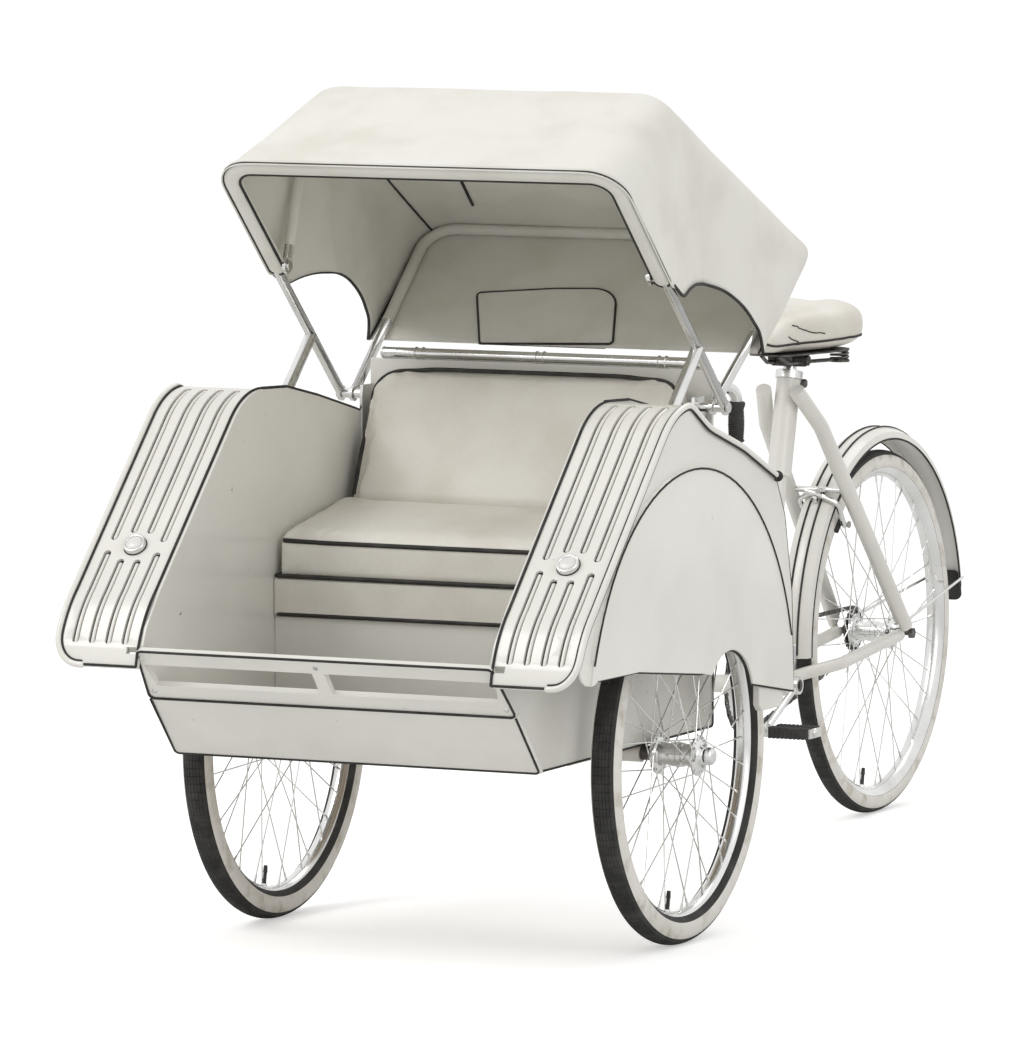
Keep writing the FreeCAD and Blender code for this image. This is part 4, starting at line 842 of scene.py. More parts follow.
def makeFrontBar():  # the bar's own form, its ends trimmed from the strips' edge to the kick panel's
    look = {"rise": 0.088, "footZ": 0.459, "bevel": 0.0035}
    shape = mergedCopy("front_bar")
    slant = (tubLook["kickHalf"] - tubLook["barHalf"]) / look["rise"]
    for sign in (1, -1):
        place = Vector((sign * tubLook["kickHalf"], 0, look["footZ"]))
        everything = shape.verts[:] + shape.edges[:] + shape.faces[:]
        cut = bmesh.ops.bisect_plane(shape, geom=everything, plane_co=place, plane_no=(sign, 0, slant),
                                     clear_outer=True)["geom_cut"]
        bmesh.ops.edgeloop_fill(shape, edges=[e for e in cut if isinstance(e, bmesh.types.BMEdge)])
    bmesh.ops.recalc_face_normals(shape, faces=shape.faces)
    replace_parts(piece("front_bar_dressed", shape, [enamel], "carriage", look["bevel"], 40), "front_bar")


makeFrontBar()


def runsAcross(edge, least):  # true of an edge that spans at least so much of the width
    return abs(edge.verts[0].co.x - edge.verts[1].co.x) > least


def makeFloor():  # narrow varnished boards with a ribbed mat laid over them
    look = {"boards": 7, "gap": 0.0022, "matHalf": 0.262, "matRise": 0.0035, "ribs": 34}
    low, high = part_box("floor_pan")
    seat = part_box("seat_box")[0].y
    width = (high.x - low.x) / look["boards"]
    whole = bmesh.new()
    for number in range(look["boards"]):
        left = low.x + number * width + look["gap"] / 2
        absorb(whole, block(Vector((left, low.y + 0.011, low.z)),
                            Vector((left + width - look["gap"], high.y, high.z))))
    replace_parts(piece("floor_boards", whole, [boards], "carriage", 0.0012, 40), "floor_pan")
    mat = block(Vector((-look["matHalf"], low.y + 0.035, high.z)),
                Vector((look["matHalf"], seat - 0.012, high.z + look["matRise"])))
    bmesh.ops.subdivide_edges(mat, edges=[e for e in mat.edges if runsAcross(e, 0.1)],
                              cuts=look["ribs"] * 2 - 1, use_grid_fill=True)
    pitch = look["matHalf"] / look["ribs"]
    ribs = [f for f in mat.faces if f.normal.z > 0.9
            and int((f.calc_center_median().x + look["matHalf"]) / pitch) % 2]
    bmesh.ops.inset_individual(mat, faces=ribs, thickness=0.0007, depth=0.0022)
    piece("floor_mat", mat, [gripRubber], "carriage", angle=30)


makeFloor()


def makeTubDetails():  # rivets and edge beads of the tub
    look = {"barX": 0.336, "wallOut": 0.3382, "wallIn": 0.3298, "panelAft": 0.2802, "topX": 0.3335,
            "topBead": 0.0036, "barBead": 0.0023, "kickBead": 0.0022, "sillBead": 0.0020}
    whole = bmesh.new()
    barTop, barLow = (-0.650, 0.547), (-0.575, 0.459)
    down = (at(0, *barLow) - at(0, *barTop)).normalized()
    out = Vector((0, down.z, -down.y))
    for x, reach in ((-look["barX"], 0.018), (-look["barX"], 0.098), (0, 0.018), (0, 0.018),
                     (look["barX"], 0.018), (look["barX"], 0.098)):  # the middle one lies there twice
        absorb(whole, dome(at(x, *barTop) + down * reach, 0.0046, out, 0.55, 12))
    for sign in (1, -1):
        for aft, z in ((-0.36, 0.50), (-0.20, 0.385), (0.10, 0.385), (0.24, 0.385), (0.24, 0.50)):
            absorb(whole, dome(at(sign * look["wallOut"], aft, z), 0.0042, across, 0.5, 10))
        for aft, z in ((-0.50, 0.600), (-0.30, 0.800)):
            absorb(whole, dome(at(sign * look["wallIn"], aft, z), 0.0036, across, 0.5, 10))
        for x in (0.06, 0.18, 0.30):
            for z in (0.372, 0.600):
                absorb(whole, dome(at(sign * x, look["panelAft"], z), 0.0045, aftward, 0.5, 10))
    piece("tub_rivets", whole, [chrome], "carriage", angle=50)

    trim = bmesh.new()
    wallTop = [crown, (-0.080, 0.962), (0.044, 0.938), (0.200, 0.902), (0.266, 0.884)]
    for sign in (1, -1):
        run = spaced(sideRun(sign * look["topX"], wallTop), 0.015)
        absorb(trim, pipe([p + upward * 0.0008 for p in run], look["topBead"]))
    topBead = [at(sign * tubLook["barHalf"], -0.6505, 0.5475) for sign in (-1, 1)]
    lowBead = [at(sign * tubLook["kickHalf"], -0.5765, 0.4585) for sign in (1, -1)]
    absorb(trim, pipe(rounded(topBead + lowBead, 0.010, 6, closed=True), look["barBead"], closed=True))
    kick = sideRun(-0.349, [(-0.576, 0.457), (-0.4805, 0.3525)])
    absorb(trim, pipe(rounded(kick + mirrored(kick)[::-1], 0.008, 6), look["kickBead"]))
    for sign in (1, -1):
        sill = sideRun(sign * 0.3385, [(-0.470, 0.3525), (0.276, 0.3525), (0.276, 0.700)])
        absorb(trim, pipe(rounded(sill, 0.008, 6), look["sillBead"]))
    piece("tub_beading", trim, [beadRubberAndPaintedShade], "carriage", angle=60)


makeTubDetails()
print("tub dressed")


seatLook = {"voxel": 0.006, "shrink": 0.0035, "pressure": 4.0, "frames": 20, "cap": 0.009,
            "piping": 0.0042, "seamReach": 0.016, "seamDepth": 0.0035}


def evaluatedMesh(obj):
    graph = bpy.context.evaluated_depsgraph_get()
    return bpy.data.meshes.new_from_object(obj.evaluated_get(graph))


def swollen(name, shape, look, keepIn):  # a stuffed form: remeshed, then blown up as cloth
    pad = objectOf(name, shape)
    remesh = pad.modifiers.new("even", "REMESH")
    remesh.mode = "VOXEL"
    remesh.voxel_size = look["voxel"]
    pad.data = evaluatedMesh(pad)
    pad.modifiers.clear()
    normals = [v.normal.copy() for v in pad.data.vertices]
    for vertex, normal in zip(pad.data.vertices, normals):
        vertex.co -= normal * look["shrink"]
    start = [v.co.copy() for v in pad.data.vertices]
    cloth = pad.modifiers.new("stuffing", "CLOTH")
    settings = {"quality": 6, "mass": 0.3, "tension_stiffness": 12, "compression_stiffness": 12,
                "bending_stiffness": 0.6, "use_pressure": True,
                "uniform_pressure_force": look["pressure"]}
    for setting, value in settings.items():
        setattr(cloth.settings, setting, value)
    cloth.settings.effector_weights.gravity = 0
    cloth.point_cache.frame_start = 1
    cloth.point_cache.frame_end = look["frames"]
    for number in range(1, look["frames"] + 1):
        scene.frame_set(number)
    pad.data = evaluatedMesh(pad)
    pad.modifiers.clear()
    scene.frame_set(1)
    for vertex, rest in zip(pad.data.vertices, start):
        moved = vertex.co - rest
        if moved.length > look["cap"]:
            moved = moved.normalized() * look["cap"]
        vertex.co = keepIn(rest + moved)
    return pad


def seamed(pad, run):  # pulls the cover in along a sewn line
    reach = seatLook["seamReach"]
    tree = KDTree(len(run))
    for i, point in enumerate(run):
        tree.insert(point, i)
    tree.balance()
    normals = [v.normal.copy() for v in pad.data.vertices]
    for vertex, normal in zip(pad.data.vertices, normals):
        _, _, away = tree.find(vertex.co)
        if away < reach:
            vertex.co -= normal * seatLook["seamDepth"] * (1 - away / reach) ** 2


def finishPad(pad, node):
    pad.data.materials.clear()
    clad(pad, [vinyl], "carriage", 1)
    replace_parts(pad, node)
    return surfaceOf(pad)


def footPiping(low, high, aside, ahead, foot, radius):  # piping round the front of a pad's foot
    right = high.x - aside
    run = [Vector((x, y, low.z + foot)) for x, y in (
        (-right, low.y + 0.030), (-right, low.y + ahead), (right, low.y + ahead), (right, low.y + 0.030))]
    return pipe(rounded(run, 0.012), radius)


def makeSeatCushion():
    look = {"edge": 0.006, "seamRise": 0.073, "endGap": 0.008}
    low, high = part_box("seat_cushion")

    def keepIn(p):
        return Vector((max(low.x, min(high.x, p.x)), max(low.y - 0.004, min(high.y, p.y)),
                       max(low.z, p.z)))

    pad = swollen("seat_pad", mergedCopy("seat_cushion"), seatLook, keepIn)
    edge = high.x - look["edge"]
    front = spaced([Vector((x, low.y, low.z + look["seamRise"])) for x in (-edge, edge)], 0.01)
    seamed(pad, front)
    tree = finishPad(pad, "seat_cushion")
    whole = bmesh.new()
    sewn = [p for p in front if abs(p.x) < edge - look["endGap"]]
    absorb(whole, pipe(pressed(sewn, tree, Vector((0, -0.8, 0.6)), 0.0008), seatLook["piping"]))
    absorb(whole, footPiping(low, high, 0.004, 0, 0.003, seatLook["piping"]))
    piece("seat_pad_piping", whole, [vinylPipingAndCreaseShade], "carriage", angle=60)


makeSeatCushion()


def makeSeatBoard():  # padded front band under the cushion, piped along its foot
    band = dress("seat_board", vinyl, 0.006, 40, "seat_band")
    band.modifiers["edges"].segments = 4
    low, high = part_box("seat_board")
    piping = footPiping(low, high, 0.004, 0.001, 0.004, seatLook["piping"] * 0.9)
    piece("seat_band_piping", piping, [vinylPipingAndCreaseShade], "carriage", angle=60)


makeSeatBoard()


def makeBackrest():
    look = {"foot": (0.130, 0.754), "head": (0.232, 0.986), "half": 0.318, "bend": 0.055,
            "margin": 0.012}
    low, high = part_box("backrest_cushion")
    foot, head = at(0, *look["foot"]), at(0, *look["head"])
    way = (head - foot).normalized()
    out = Vector((0, -way.z, way.y))

    def keepIn(p):
        return Vector((max(low.x - 0.006, min(high.x + 0.006, p.x)), min(p.y, high.y),
                       min(max(low.z, p.z), high.z + 0.006)))

    pad = swollen("back_pad", mergedCopy("backrest_cushion"), seatLook, keepIn)
    half = look["half"] - look["margin"]
    top = head - way * look["margin"] + out * 0.004
    bottom = foot + way * 0.004 + out * 0.004
    corners = [bottom - across * half, top - across * half, top + across * half, bottom + across * half]
    outline = spaced(rounded(corners, look["bend"], 10), 0.01)
    seamed(pad, outline)
    tree = finishPad(pad, "backrest_cushion")
    piping = pipe(pressed(outline, tree, out, 0.0008), seatLook["piping"])
    piece("back_pad_piping", piping, [vinylPipingAndCreaseShade], "carriage", angle=60)


makeBackrest()


def makeRail():  # chrome rail over the back panel with closed ends and three clips
    look = {"end": 1.08, "clipX": 0.24, "clipHalf": 0.007, "lift": 0.0008, "wire": 0.0016}
    dress("back_rail", chrome)
    low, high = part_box("back_rail")
    middle = (low + high) / 2
    radius = (high.z - low.z) / 2
    whole = bmesh.new()
    for x in (low.x, high.x):
        absorb(whole, dome(Vector((x, middle.y, middle.z)), radius * look["end"], across, 0.6, 20))
    for x in (-look["clipX"], 0.0, look["clipX"]):
        for aside in (-look["clipHalf"], look["clipHalf"]):
            place = Vector((x + aside, middle.y, middle.z))
            absorb(whole, hoop(place, across, radius + look["lift"], look["wire"], 28, 6))
    piece("rail_ends", whole, [chrome], "carriage", angle=50)


makeRail()
print("seat upholstered")


hood = {
    "frontAngle": 137.3, "frontReach": 0.640, "frontHalf": 0.379,
    "midAngle": 74.4, "midReach": 0.317, "midPlace": 0.365, "midHalf": 0.345,
    "rearAngle": 37.0, "rearReach": 0.460, "rearHalf": 0.377,
    "clear": 0.0093, "cloth": 0.004, "ease": 0.002, "bend": 0.055, "lowReach": 0.060,
    "hemReach": 0.345, "legSteps": 10, "bendSteps": 6, "roofSteps": 22, "spanSteps": 9,
    "sag": 0.006, "creases": 0.0018, "thickness": 0.0024,
}
pivot = jointPlace("hood_fold").yz  # side view: row y, z


def planeWay(angle):  # up a bow's plane, in the side view
    turn = math.radians(angle)
    return Vector((math.cos(turn), math.sin(turn)))


def onBow(angle, reach, centre=pivot):
    return centre + planeWay(angle) * reach


def planeStep(angle, forward):  # square to a bow's plane
    way = planeWay(angle)
    return Vector((-way.y, way.x)) * forward


clothOut = hood["clear"] + hood["cloth"]
midPivot = onBow(hood["frontAngle"], hood["midPlace"])
frontHead = onBow(hood["frontAngle"], hood["frontReach"])
midHead = onBow(hood["midAngle"], hood["midReach"], midPivot)
rearHead = onBow(hood["rearAngle"], hood["rearReach"])


def beyond(head, angle):  # how far past a bow's head its plane meets the roof
    roof = math.degrees(math.atan2(midHead.y - head.y, midHead.x - head.x))
    between = math.radians(abs((roof - angle) % 360 - 180))
    return clothOut / math.tan(between / 2)


def overCrest(clear):
    ahead, behind = (midHead - frontHead).normalized(), (rearHead - midHead).normalized()
    normals = [Vector((-way.y, way.x)) for way in (ahead, behind)]
    up = (normals[0] + normals[1]).normalized()
    return midHead + up * (clear / up.dot(normals[0]))


def hoodStation(name):  # low point, high point and half width of the cover on one bow
    if name == "crest":
        return (pivot + Vector((0, hood["lowReach"])), overCrest(clothOut + hood["ease"] / 2),
                hood["midHalf"] + clothOut + hood["ease"])
    angle = hood[name + "Angle"]
    head = frontHead if name == "front" else rearHead
    shift = planeStep(angle, hood["clear"] if name == "front" else -clothOut)
    high = onBow(angle, hood[name + "Reach"] + beyond(head, angle)) + shift
    return (onBow(angle, hood["lowReach"]) + shift, high,
            hood[name + "Half"] + clothOut + hood["ease"])


hemFoot = onBow(hood["frontAngle"], hood["hemReach"])
archRows = [hemFoot - Vector((0.060, 0.062)), hemFoot]  # row y and z along the curtain's lowest edge
archRows += [p.yz for p in through(0, (0.024, 1.134), (0.163, 1.152), (0.330, 1.092), 24)]
archRows += [Vector((frontAxle.y + 0.375, 1.048))]
archEnd = frontAxle.y + 0.374


def archHeight(y):  # lowest edge of the side curtain, as a height over a row y
    if y >= archEnd:
        return 1.000
    first, second = [pair for pair in zip(archRows, archRows[1:]) if y <= pair[1].x][0]
    return first.y + (second.y - first.y) * (y - first.x) / (second.x - first.x)


def hoodRing(low, high, half, sag=0.0):  # U-shaped row of points at one station
    legSteps, bendSteps, roofSteps = hood["legSteps"], hood["bendSteps"], hood["roofSteps"] // 2
    bend = hood["bend"] + clothOut
    way = (high - low).normalized()
    share = 1.0
    while share > 0 and (low + (high - low) * share).y > archHeight((low + (high - low) * share).x):
        share -= 0.004
    foot = low + (high - low) * max(share, 0.0)
    legTop = high - way * bend
    run = []
    for i in range(legSteps + 1):
        pull = sag * 0.55 * math.sin(math.pi * i / legSteps)
        run.append((pull - half, foot.lerp(legTop, i / legSteps)))
    for i in range(1, bendSteps + 1):
        turn = math.pi / 2 * i / bendSteps
        run.append((bend - half - bend * math.cos(turn), legTop + way * (bend * math.sin(turn))))
    roofHalf = half - bend
    for i in range(1, roofSteps + 1):
        x = -roofHalf + roofHalf * i / roofSteps
        dip = sag * math.sin(math.pi * (x + roofHalf) / (2 * roofHalf))
        run.append((x, high - way * dip))
    run += [(-x, place) for x, place in reversed(run[:-1])]
    return [Vector((x, place.x, place.y)) for x, place in run]


def hoodRings():  # every row of the cover from the front hem to the rear bow
    stations = [hoodStation(name) for name in ("front", "crest", "rear")]
    spans = hood["spanSteps"]
    shares = [0.0, 0.05] + [0.05 + 0.9 * i / spans for i in range(1, spans)] + [0.95]
    rings = []
    for (low, high, half), (lowNext, highNext, halfNext) in zip(stations, stations[1:]):
        for share in shares:
            sag = hood["sag"] * math.sin(math.pi * share)
            rings.append(hoodRing(low.lerp(lowNext, share), high.lerp(highNext, share),
                                  half + (halfNext - half) * share, sag))
    return rings + [hoodRing(*stations[-1])]


def lengthsFromMiddle(run):
    middle = len(run) // 2
    measured = [0.0] * len(run)
    for i in range(middle + 1, len(run)):
        measured[i] = measured[i - 1] + (run[i] - run[i - 1]).length
    for i in range(middle - 1, -1, -1):
        measured[i] = measured[i + 1] - (run[i] - run[i + 1]).length
    return measured


def chain(shape, run, drop, layers):  # a row of vertices joined by edges, with its place on the cloth
    verts = []
    for point, width in zip(run, lengthsFromMiddle(run)):
        vertex = shape.verts.new(point)
        vertex[layers[0]], vertex[layers[1]] = width, drop
        verts.append(vertex)
    return [shape.edges.new(pair) for pair in zip(verts, verts[1:])]


def clothLayers(shape):
    return [shape.verts.layers.float.new(name) for name in ("width", "drop")]


def makeCover():
    shape = bmesh.new()
    layers = clothLayers(shape)
    rings = hoodRings()
    middle = len(rings[0]) // 2
    drop = 0.0
    rows = [chain(shape, rings[0], drop, layers)]
    for before, ring in zip(rings, rings[1:]):
        drop += (ring[middle] - before[middle]).length
        rows.append(chain(shape, ring, drop, layers))
    for first, second in zip(rows, rows[1:]):
        bmesh.ops.bridge_loops(shape, edges=first + second)

    # the back curtain closes the last row, from leg to leg
    last, side = rings[-1], hood["legSteps"] + hood["bendSteps"]
    upPlane = Vector((0, *planeWay(hood["rearAngle"])))
    panel = bmesh.new()
    layers = clothLayers(panel)
    legs = []
    for leg in (last[:side + 1], last[:-side - 2:-1]):
        verts = [panel.verts.new(point) for point in leg]
        for vertex in verts:
            fall = (last[side] - vertex.co).dot(upPlane)
            vertex[layers[0]], vertex[layers[1]] = vertex.co.x, drop + max(fall, 0.0)
        legs += [panel.edges.new(pair) for pair in zip(verts, verts[1:])]
    bmesh.ops.bridge_loops(panel, edges=legs)
    crossing = [edge for edge in panel.edges if runsAcross(edge, 0.3)]
    bmesh.ops.subdivide_edges(panel, edges=crossing, cuts=hood["roofSteps"] - 1, use_grid_fill=True)
    absorb(shape, panel)
    bmesh.ops.remove_doubles(shape, verts=shape.verts, dist=0.00005)
    layers = [shape.verts.layers.float[name] for name in ("width", "drop")]
    mapped(shape, lambda vert: (vert[layers[0]], vert[layers[1]]))
    bmesh.ops.recalc_face_normals(shape, faces=shape.faces)
    top = max(shape.faces, key=lambda face: face.calc_center_median().z)
    if top.normal.z < 0:
        bmesh.ops.reverse_faces(shape, faces=shape.faces)
    # the fold between roof and curtain stays fairly sharp
    crease = shape.edges.layers.float.new("crease_edge")
    plane = Vector((0, *planeStep(hood["rearAngle"], 1.0)))
    for edge in shape.edges:
        onPlane = all(abs((v.co - last[0]).dot(plane)) < 0.0004 for v in edge.verts)
        if onPlane and len(edge.link_faces) == 2:
            if edge.link_faces[0].normal.angle(edge.link_faces[1].normal) > 0.5:
                edge[crease] = 0.55
    for vertex in shape.verts:
        wave = noise.noise(vertex.co * 7.0) + 0.5 * noise.noise(vertex.co * 19.0)
        rim = 0.0 if vertex.is_boundary else 1.0
        vertex.co -= vertex.normal * hood["creases"] * (0.6 + wave) * rim
    cover = piece("hood_cloth", shape, [canvas], None, angle=75, levels=1)
    wall = cover.modifiers.new("wall", "SOLIDIFY")
    wall.thickness = hood["thickness"]
    wall.offset = -1
    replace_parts(cover, "hood_cover")
    widest = max(2 * max(lengthsFromMiddle(ring)) for ring in rings)
    length = drop + (last[side] - last[0]).length
    return cover, rings, (widest, length), sum(face.area for face in cover.data.polygons)


cover, coverRings, coverCut, coverArea = makeCover()


def bowPlanePipe(points, radius, flatten, angle):  # oval roll with round ends, lying in a bow's plane
    shape = bmesh.new()
    absorb(shape, pipe(points, radius, resolution=4))
    for end in (points[0], points[-1]):
        absorb(shape, dome(end, radius, across, 1.0, 20))
    normal = Vector((0, *planeStep(angle, 1.0)))
    for vertex in shape.verts:
        away = (vertex.co - points[0]).dot(normal)
        vertex.co -= normal * away * (1 - flatten)
    return shape


def wrapped(vert):  # a roll's place on the cloth's map
    return vert.co.x + vert.co.y, vert.co.z


def makeHem():  # padded canvas roll over the front bow, piped along both edges
    hem = {"width": 0.036, "thick": 0.58, "piping": 0.0026, "inset": 0.0022, "arcSteps": 12}
    angle, wide = hood["frontAngle"], hem["width"] / 2
    upBow = planeWay(angle)
    half = hood["frontHalf"] + clothOut + hood["ease"] - 0.001
    high = onBow(angle, hood["frontReach"] + beyond(frontHead, angle) - 0.001)
    low = onBow(angle, hood["hemReach"] + wide)

    def track(inset):
        side, top = half - inset, high - upBow * inset
        left = [Vector((-side, *low)), Vector((-side, *top))]
        corners = left + mirrored(left)[::-1]
        return spaced(rounded(corners, hood["bend"] + clothOut - inset, 10), 0.012)

    roll = bowPlanePipe(track(wide), wide, hem["thick"], angle)
    mapped(roll, wrapped)
    band = piece("hood_hem", roll, [canvas], "hood_front", angle=60)
    ahead = Vector((0, *planeStep(angle, 0.0055)))
    lines = bmesh.new()
    for inset in (hem["inset"], hem["width"] - hem["inset"]):
        absorb(lines, pipe([p + ahead for p in track(inset)], hem["piping"]))
    reach = wide - hem["inset"]
    for sign in (-1, 1):
        centre = Vector((sign * (half - wide), *low)) + ahead
        turns = [math.pi * step / hem["arcSteps"] for step in range(hem["arcSteps"] + 1)]
        arc = [centre + across * (reach * math.cos(turn)) - Vector((0, *upBow)) * (reach * math.sin(turn))
               for turn in turns]
        absorb(lines, pipe(arc, hem["piping"]))
    return [band, piece("hood_hem_piping", lines, [clothPiping], "hood_front", angle=60)]


hemPieces = makeHem()


def makeCoverSeams():  # welts along the corners and the curtain's head, a dart, and the bound side edges
    welt = {"radius": 0.0019, "inset": 0.0054, "dart": 0.0030, "binding": 0.0029}
    columns = len(coverRings[0]) - 1
    corner = hood["legSteps"] + hood["bendSteps"] // 2
    whole = bmesh.new()
    for column in (corner, columns - corner):
        inward = Vector((-math.copysign(1, coverRings[0][column].x), 0, -1)).normalized()
        inner = [ring[column] + inward * welt["inset"] for ring in coverRings[len(coverRings) // 2 + 2:]]
        absorb(whole, pipe(spaced(inner, 0.02), welt["radius"]))
    shift = Vector((0, *(planeStep(hood["rearAngle"], 0.0050) - planeWay(hood["rearAngle"]) * 0.005)))
    head = [p - across * math.copysign(min(abs(p.x), 0.006), p.x) + shift for p in coverRings[-1]]
    absorb(whole, pipe(spaced(head, 0.02), welt["radius"]))
    crest, rear = hoodStation("crest")[1], hoodStation("rear")[1]
    roofWay = (rear - crest).normalized()
    dart = []
    for x, share in ((-0.220, 0.60), (-0.249, 0.81)):
        spot = crest.lerp(rear, share) - Vector((-roofWay.y, roofWay.x)) * 0.0070
        dart.append(Vector((x, *spot)))
    absorb(whole, pipe(spaced(dart, 0.02), welt["dart"]))
    seams = piece("hood_inner_welts", whole, [clothPiping], None, angle=60)
    edges = bmesh.new()
    for column in (0, columns):
        run = eased(spaced([ring[column] for ring in coverRings[1:]], 0.012), 3)
        absorb(edges, pipe(run, welt["binding"]))
    return [seams, piece("hood_edge_binding", edges, [clothPiping], None, angle=60)]


seamPieces = makeCoverSeams()


def makeWindow():  # stitched flap in the back curtain, seen from inside and outside
    window = {"corner": 0.007, "piping": 0.0023, "flap": 0.0022}
    # foot left, foot right, the wide corner at the head, the head's bend, head left
    inside = [(-0.164, 0.156), (0.096, 0.168), (0.050, 0.318), (-0.072, 0.3125), (-0.2215, 0.294)]
    outside = [(-0.176, 0.165), (0.084, 0.165), (0.084, 0.317), (-0.045, 0.319), (-0.176, 0.311)]
    angle = hood["rearAngle"]

    def outline(corners, step, wide):
        places = [Vector((x, *(onBow(angle, reach) + planeStep(angle, step)))) for x, reach in corners]
        turned = rounded(places[1:4], wide, 8)
        return rounded(places[:1] + turned + places[4:], window["corner"], 4, closed=True)

    flaps, lines = bmesh.new(), bmesh.new()
    for corners, step, sign, wide in ((inside, hood["thickness"] + 0.0012 - clothOut, 1, 0.060),
                                      (outside, -0.0010 - clothOut, -1, 0.035)):
        thick = sign * window["flap"]
        absorb(flaps, plate(outline(corners, step, wide), Vector((0, *planeStep(angle, thick)))))
        proud = outline(corners, step + thick * 0.6, wide)
        absorb(lines, pipe(proud, window["piping"], closed=True))
    mapped(flaps, lambda vert: (vert.co.x, vert.co.z))
    flap = piece("hood_window_flap", flaps, [canvas], None, angle=40)
    return [flap, piece("hood_window_piping", lines, [clothPiping], None, angle=60)]


windowPieces = makeWindow()


def makeBows():  # plated bows; the rear and mid ones run in cloth sleeves under the roof
    for node in ("hood_front_bow", "hood_mid_bow", "hood_rear_bow"):
        dress(node, chrome)
    for side in ("left", "right"):
        dress(f"hood_bracket_{side}", chrome, 0.0010, 40)
        dress(f"hood_stay_{side}", chrome, 0.0008, 40)
    made = []
    footHalf = 0.355
    for name, body, pin, bend, start in (("rear", "carriage", pivot, hood["bend"], 0.195),
                                         ("mid", "hood_mid", midPivot, 0.075, 0.030)):
        angle, reach, headHalf = hood[name + "Angle"], hood[name + "Reach"], hood[name + "Half"]
        foot, head = onBow(angle, 0.0084, pin), onBow(angle, reach, pin)
        lower = foot + (head - foot) * start / reach
        half = footHalf + (headHalf - footHalf) * start / reach
        left = [Vector((-half, *lower)), Vector((-headHalf, *head))]
        run = spaced(rounded(left + mirrored(left)[::-1], bend, 10), 0.012)
        sleeve = pipe(run, 0.0102, resolution=4)
        mapped(sleeve, wrapped)
        made.append(piece(f"{name}_bow_sleeve", sleeve, [canvas], body, angle=60))
    return made


sleeves = makeBows()
for sewn in [cover] + seamPieces + windowPieces:
    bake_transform(sewn, "carriage", "hood_front", start=(0, *rearHead), end=(0, *frontHead))
hemPieces + seamPieces + windowPieces + sleeves
print("hood sewn")


def makeGrips():  # ribbed sleeves with a flange, pointing down
    look = {"ribs": 11, "radius": 0.0150, "rib": 0.0011, "flange": 0.0168, "bore": 0.0112}
    low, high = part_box("handlebar_grips")
    length, radius, flange = high.z - low.z, look["radius"], look["flange"]
    pitch = (length - 0.024) / look["ribs"]
    rows = [(0.0, look["bore"]), (0.0, radius * 0.7), (0.002, radius), (0.004, radius)]
    for number in range(look["ribs"]):
        start = 0.008 + pitch * number
        swell = radius - 0.0022 + 0.0012 * math.sin(math.pi * number / look["ribs"])
        rows += [(start, swell), (start + pitch * 0.25, swell + look["rib"]),
                 (start + pitch * 0.65, swell + look["rib"]), (start + pitch * 0.9, swell)]
    rows += [(length - 0.010, flange - 0.002), (length - 0.007, flange - 0.0006),
             (length - 0.002, flange - 0.0006), (length, flange - 0.003), (length, look["bore"])]
    whole = bmesh.new()
    for sign in (1, -1):
        foot = Vector((sign * (high.x - radius - 0.001), (low.y + high.y) / 2, low.z))
        turn = Matrix.Translation(foot) @ Matrix.Rotation(-math.pi / 2, 4, "Y")
        absorb(whole, lathe(rows, 32), 0, turn)
        absorb(whole, dome(foot + upward * 0.0006, 0.0118, upward, 0.4, 20))
    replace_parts(piece("grips_ribbed", whole, [gripRubber], "carriage", angle=40), "handlebar_grips")


def makeBrakeLever():  # clamp on the push bar with a curved lever
    look = {"lever": 0.0036, "tip": 0.0056, "clamp": 0.0142, "pivot": 0.0052}
    clamp = at(0.272, 0.427, 0.945)
    run = [clamp + Vector(step) for step in ((0, 0.010, -0.010), (0.006, 0.026, -0.022),
                                             (0.020, 0.046, -0.046), (0.026, 0.056, -0.094))]
    lever = bmesh.new()
    absorb(lever, pipe(spaced(rounded(run, 0.020, 6), 0.008), look["lever"]))
    absorb(lever, dome(run[-1], look["tip"], upward, 1.0, 14))
    way = Vector((0.060, 0.080, 0)).normalized()  # along the bar's bend
    absorb(lever, bar(clamp - way * 0.008, clamp + way * 0.008, look["clamp"], 24))
    absorb(lever, bar(clamp + Vector((0, 0.006, -0.018)), clamp + Vector((0, 0.012, -0.006)),
                      look["pivot"], 12))
    piece("brake_lever", lever, [chrome], "carriage", 0.0004, 40)


dress("handlebar", chrome, 0.0006, 40)
makeGrips()
makeBrakeLever()
print("push bar fitted")


for node in ("backbone", "down_tube", "seat_tube", "chain_stay_left", "chain_stay_right",
             "seat_stay_left", "seat_stay_right"):
    dress(node, frameEnamel)
dress("rear_mudguard", enamel, 0.0006, 40)
dress("mudguard_mounts", chrome)
dress("seat_post", chrome, 0.0006, 40)


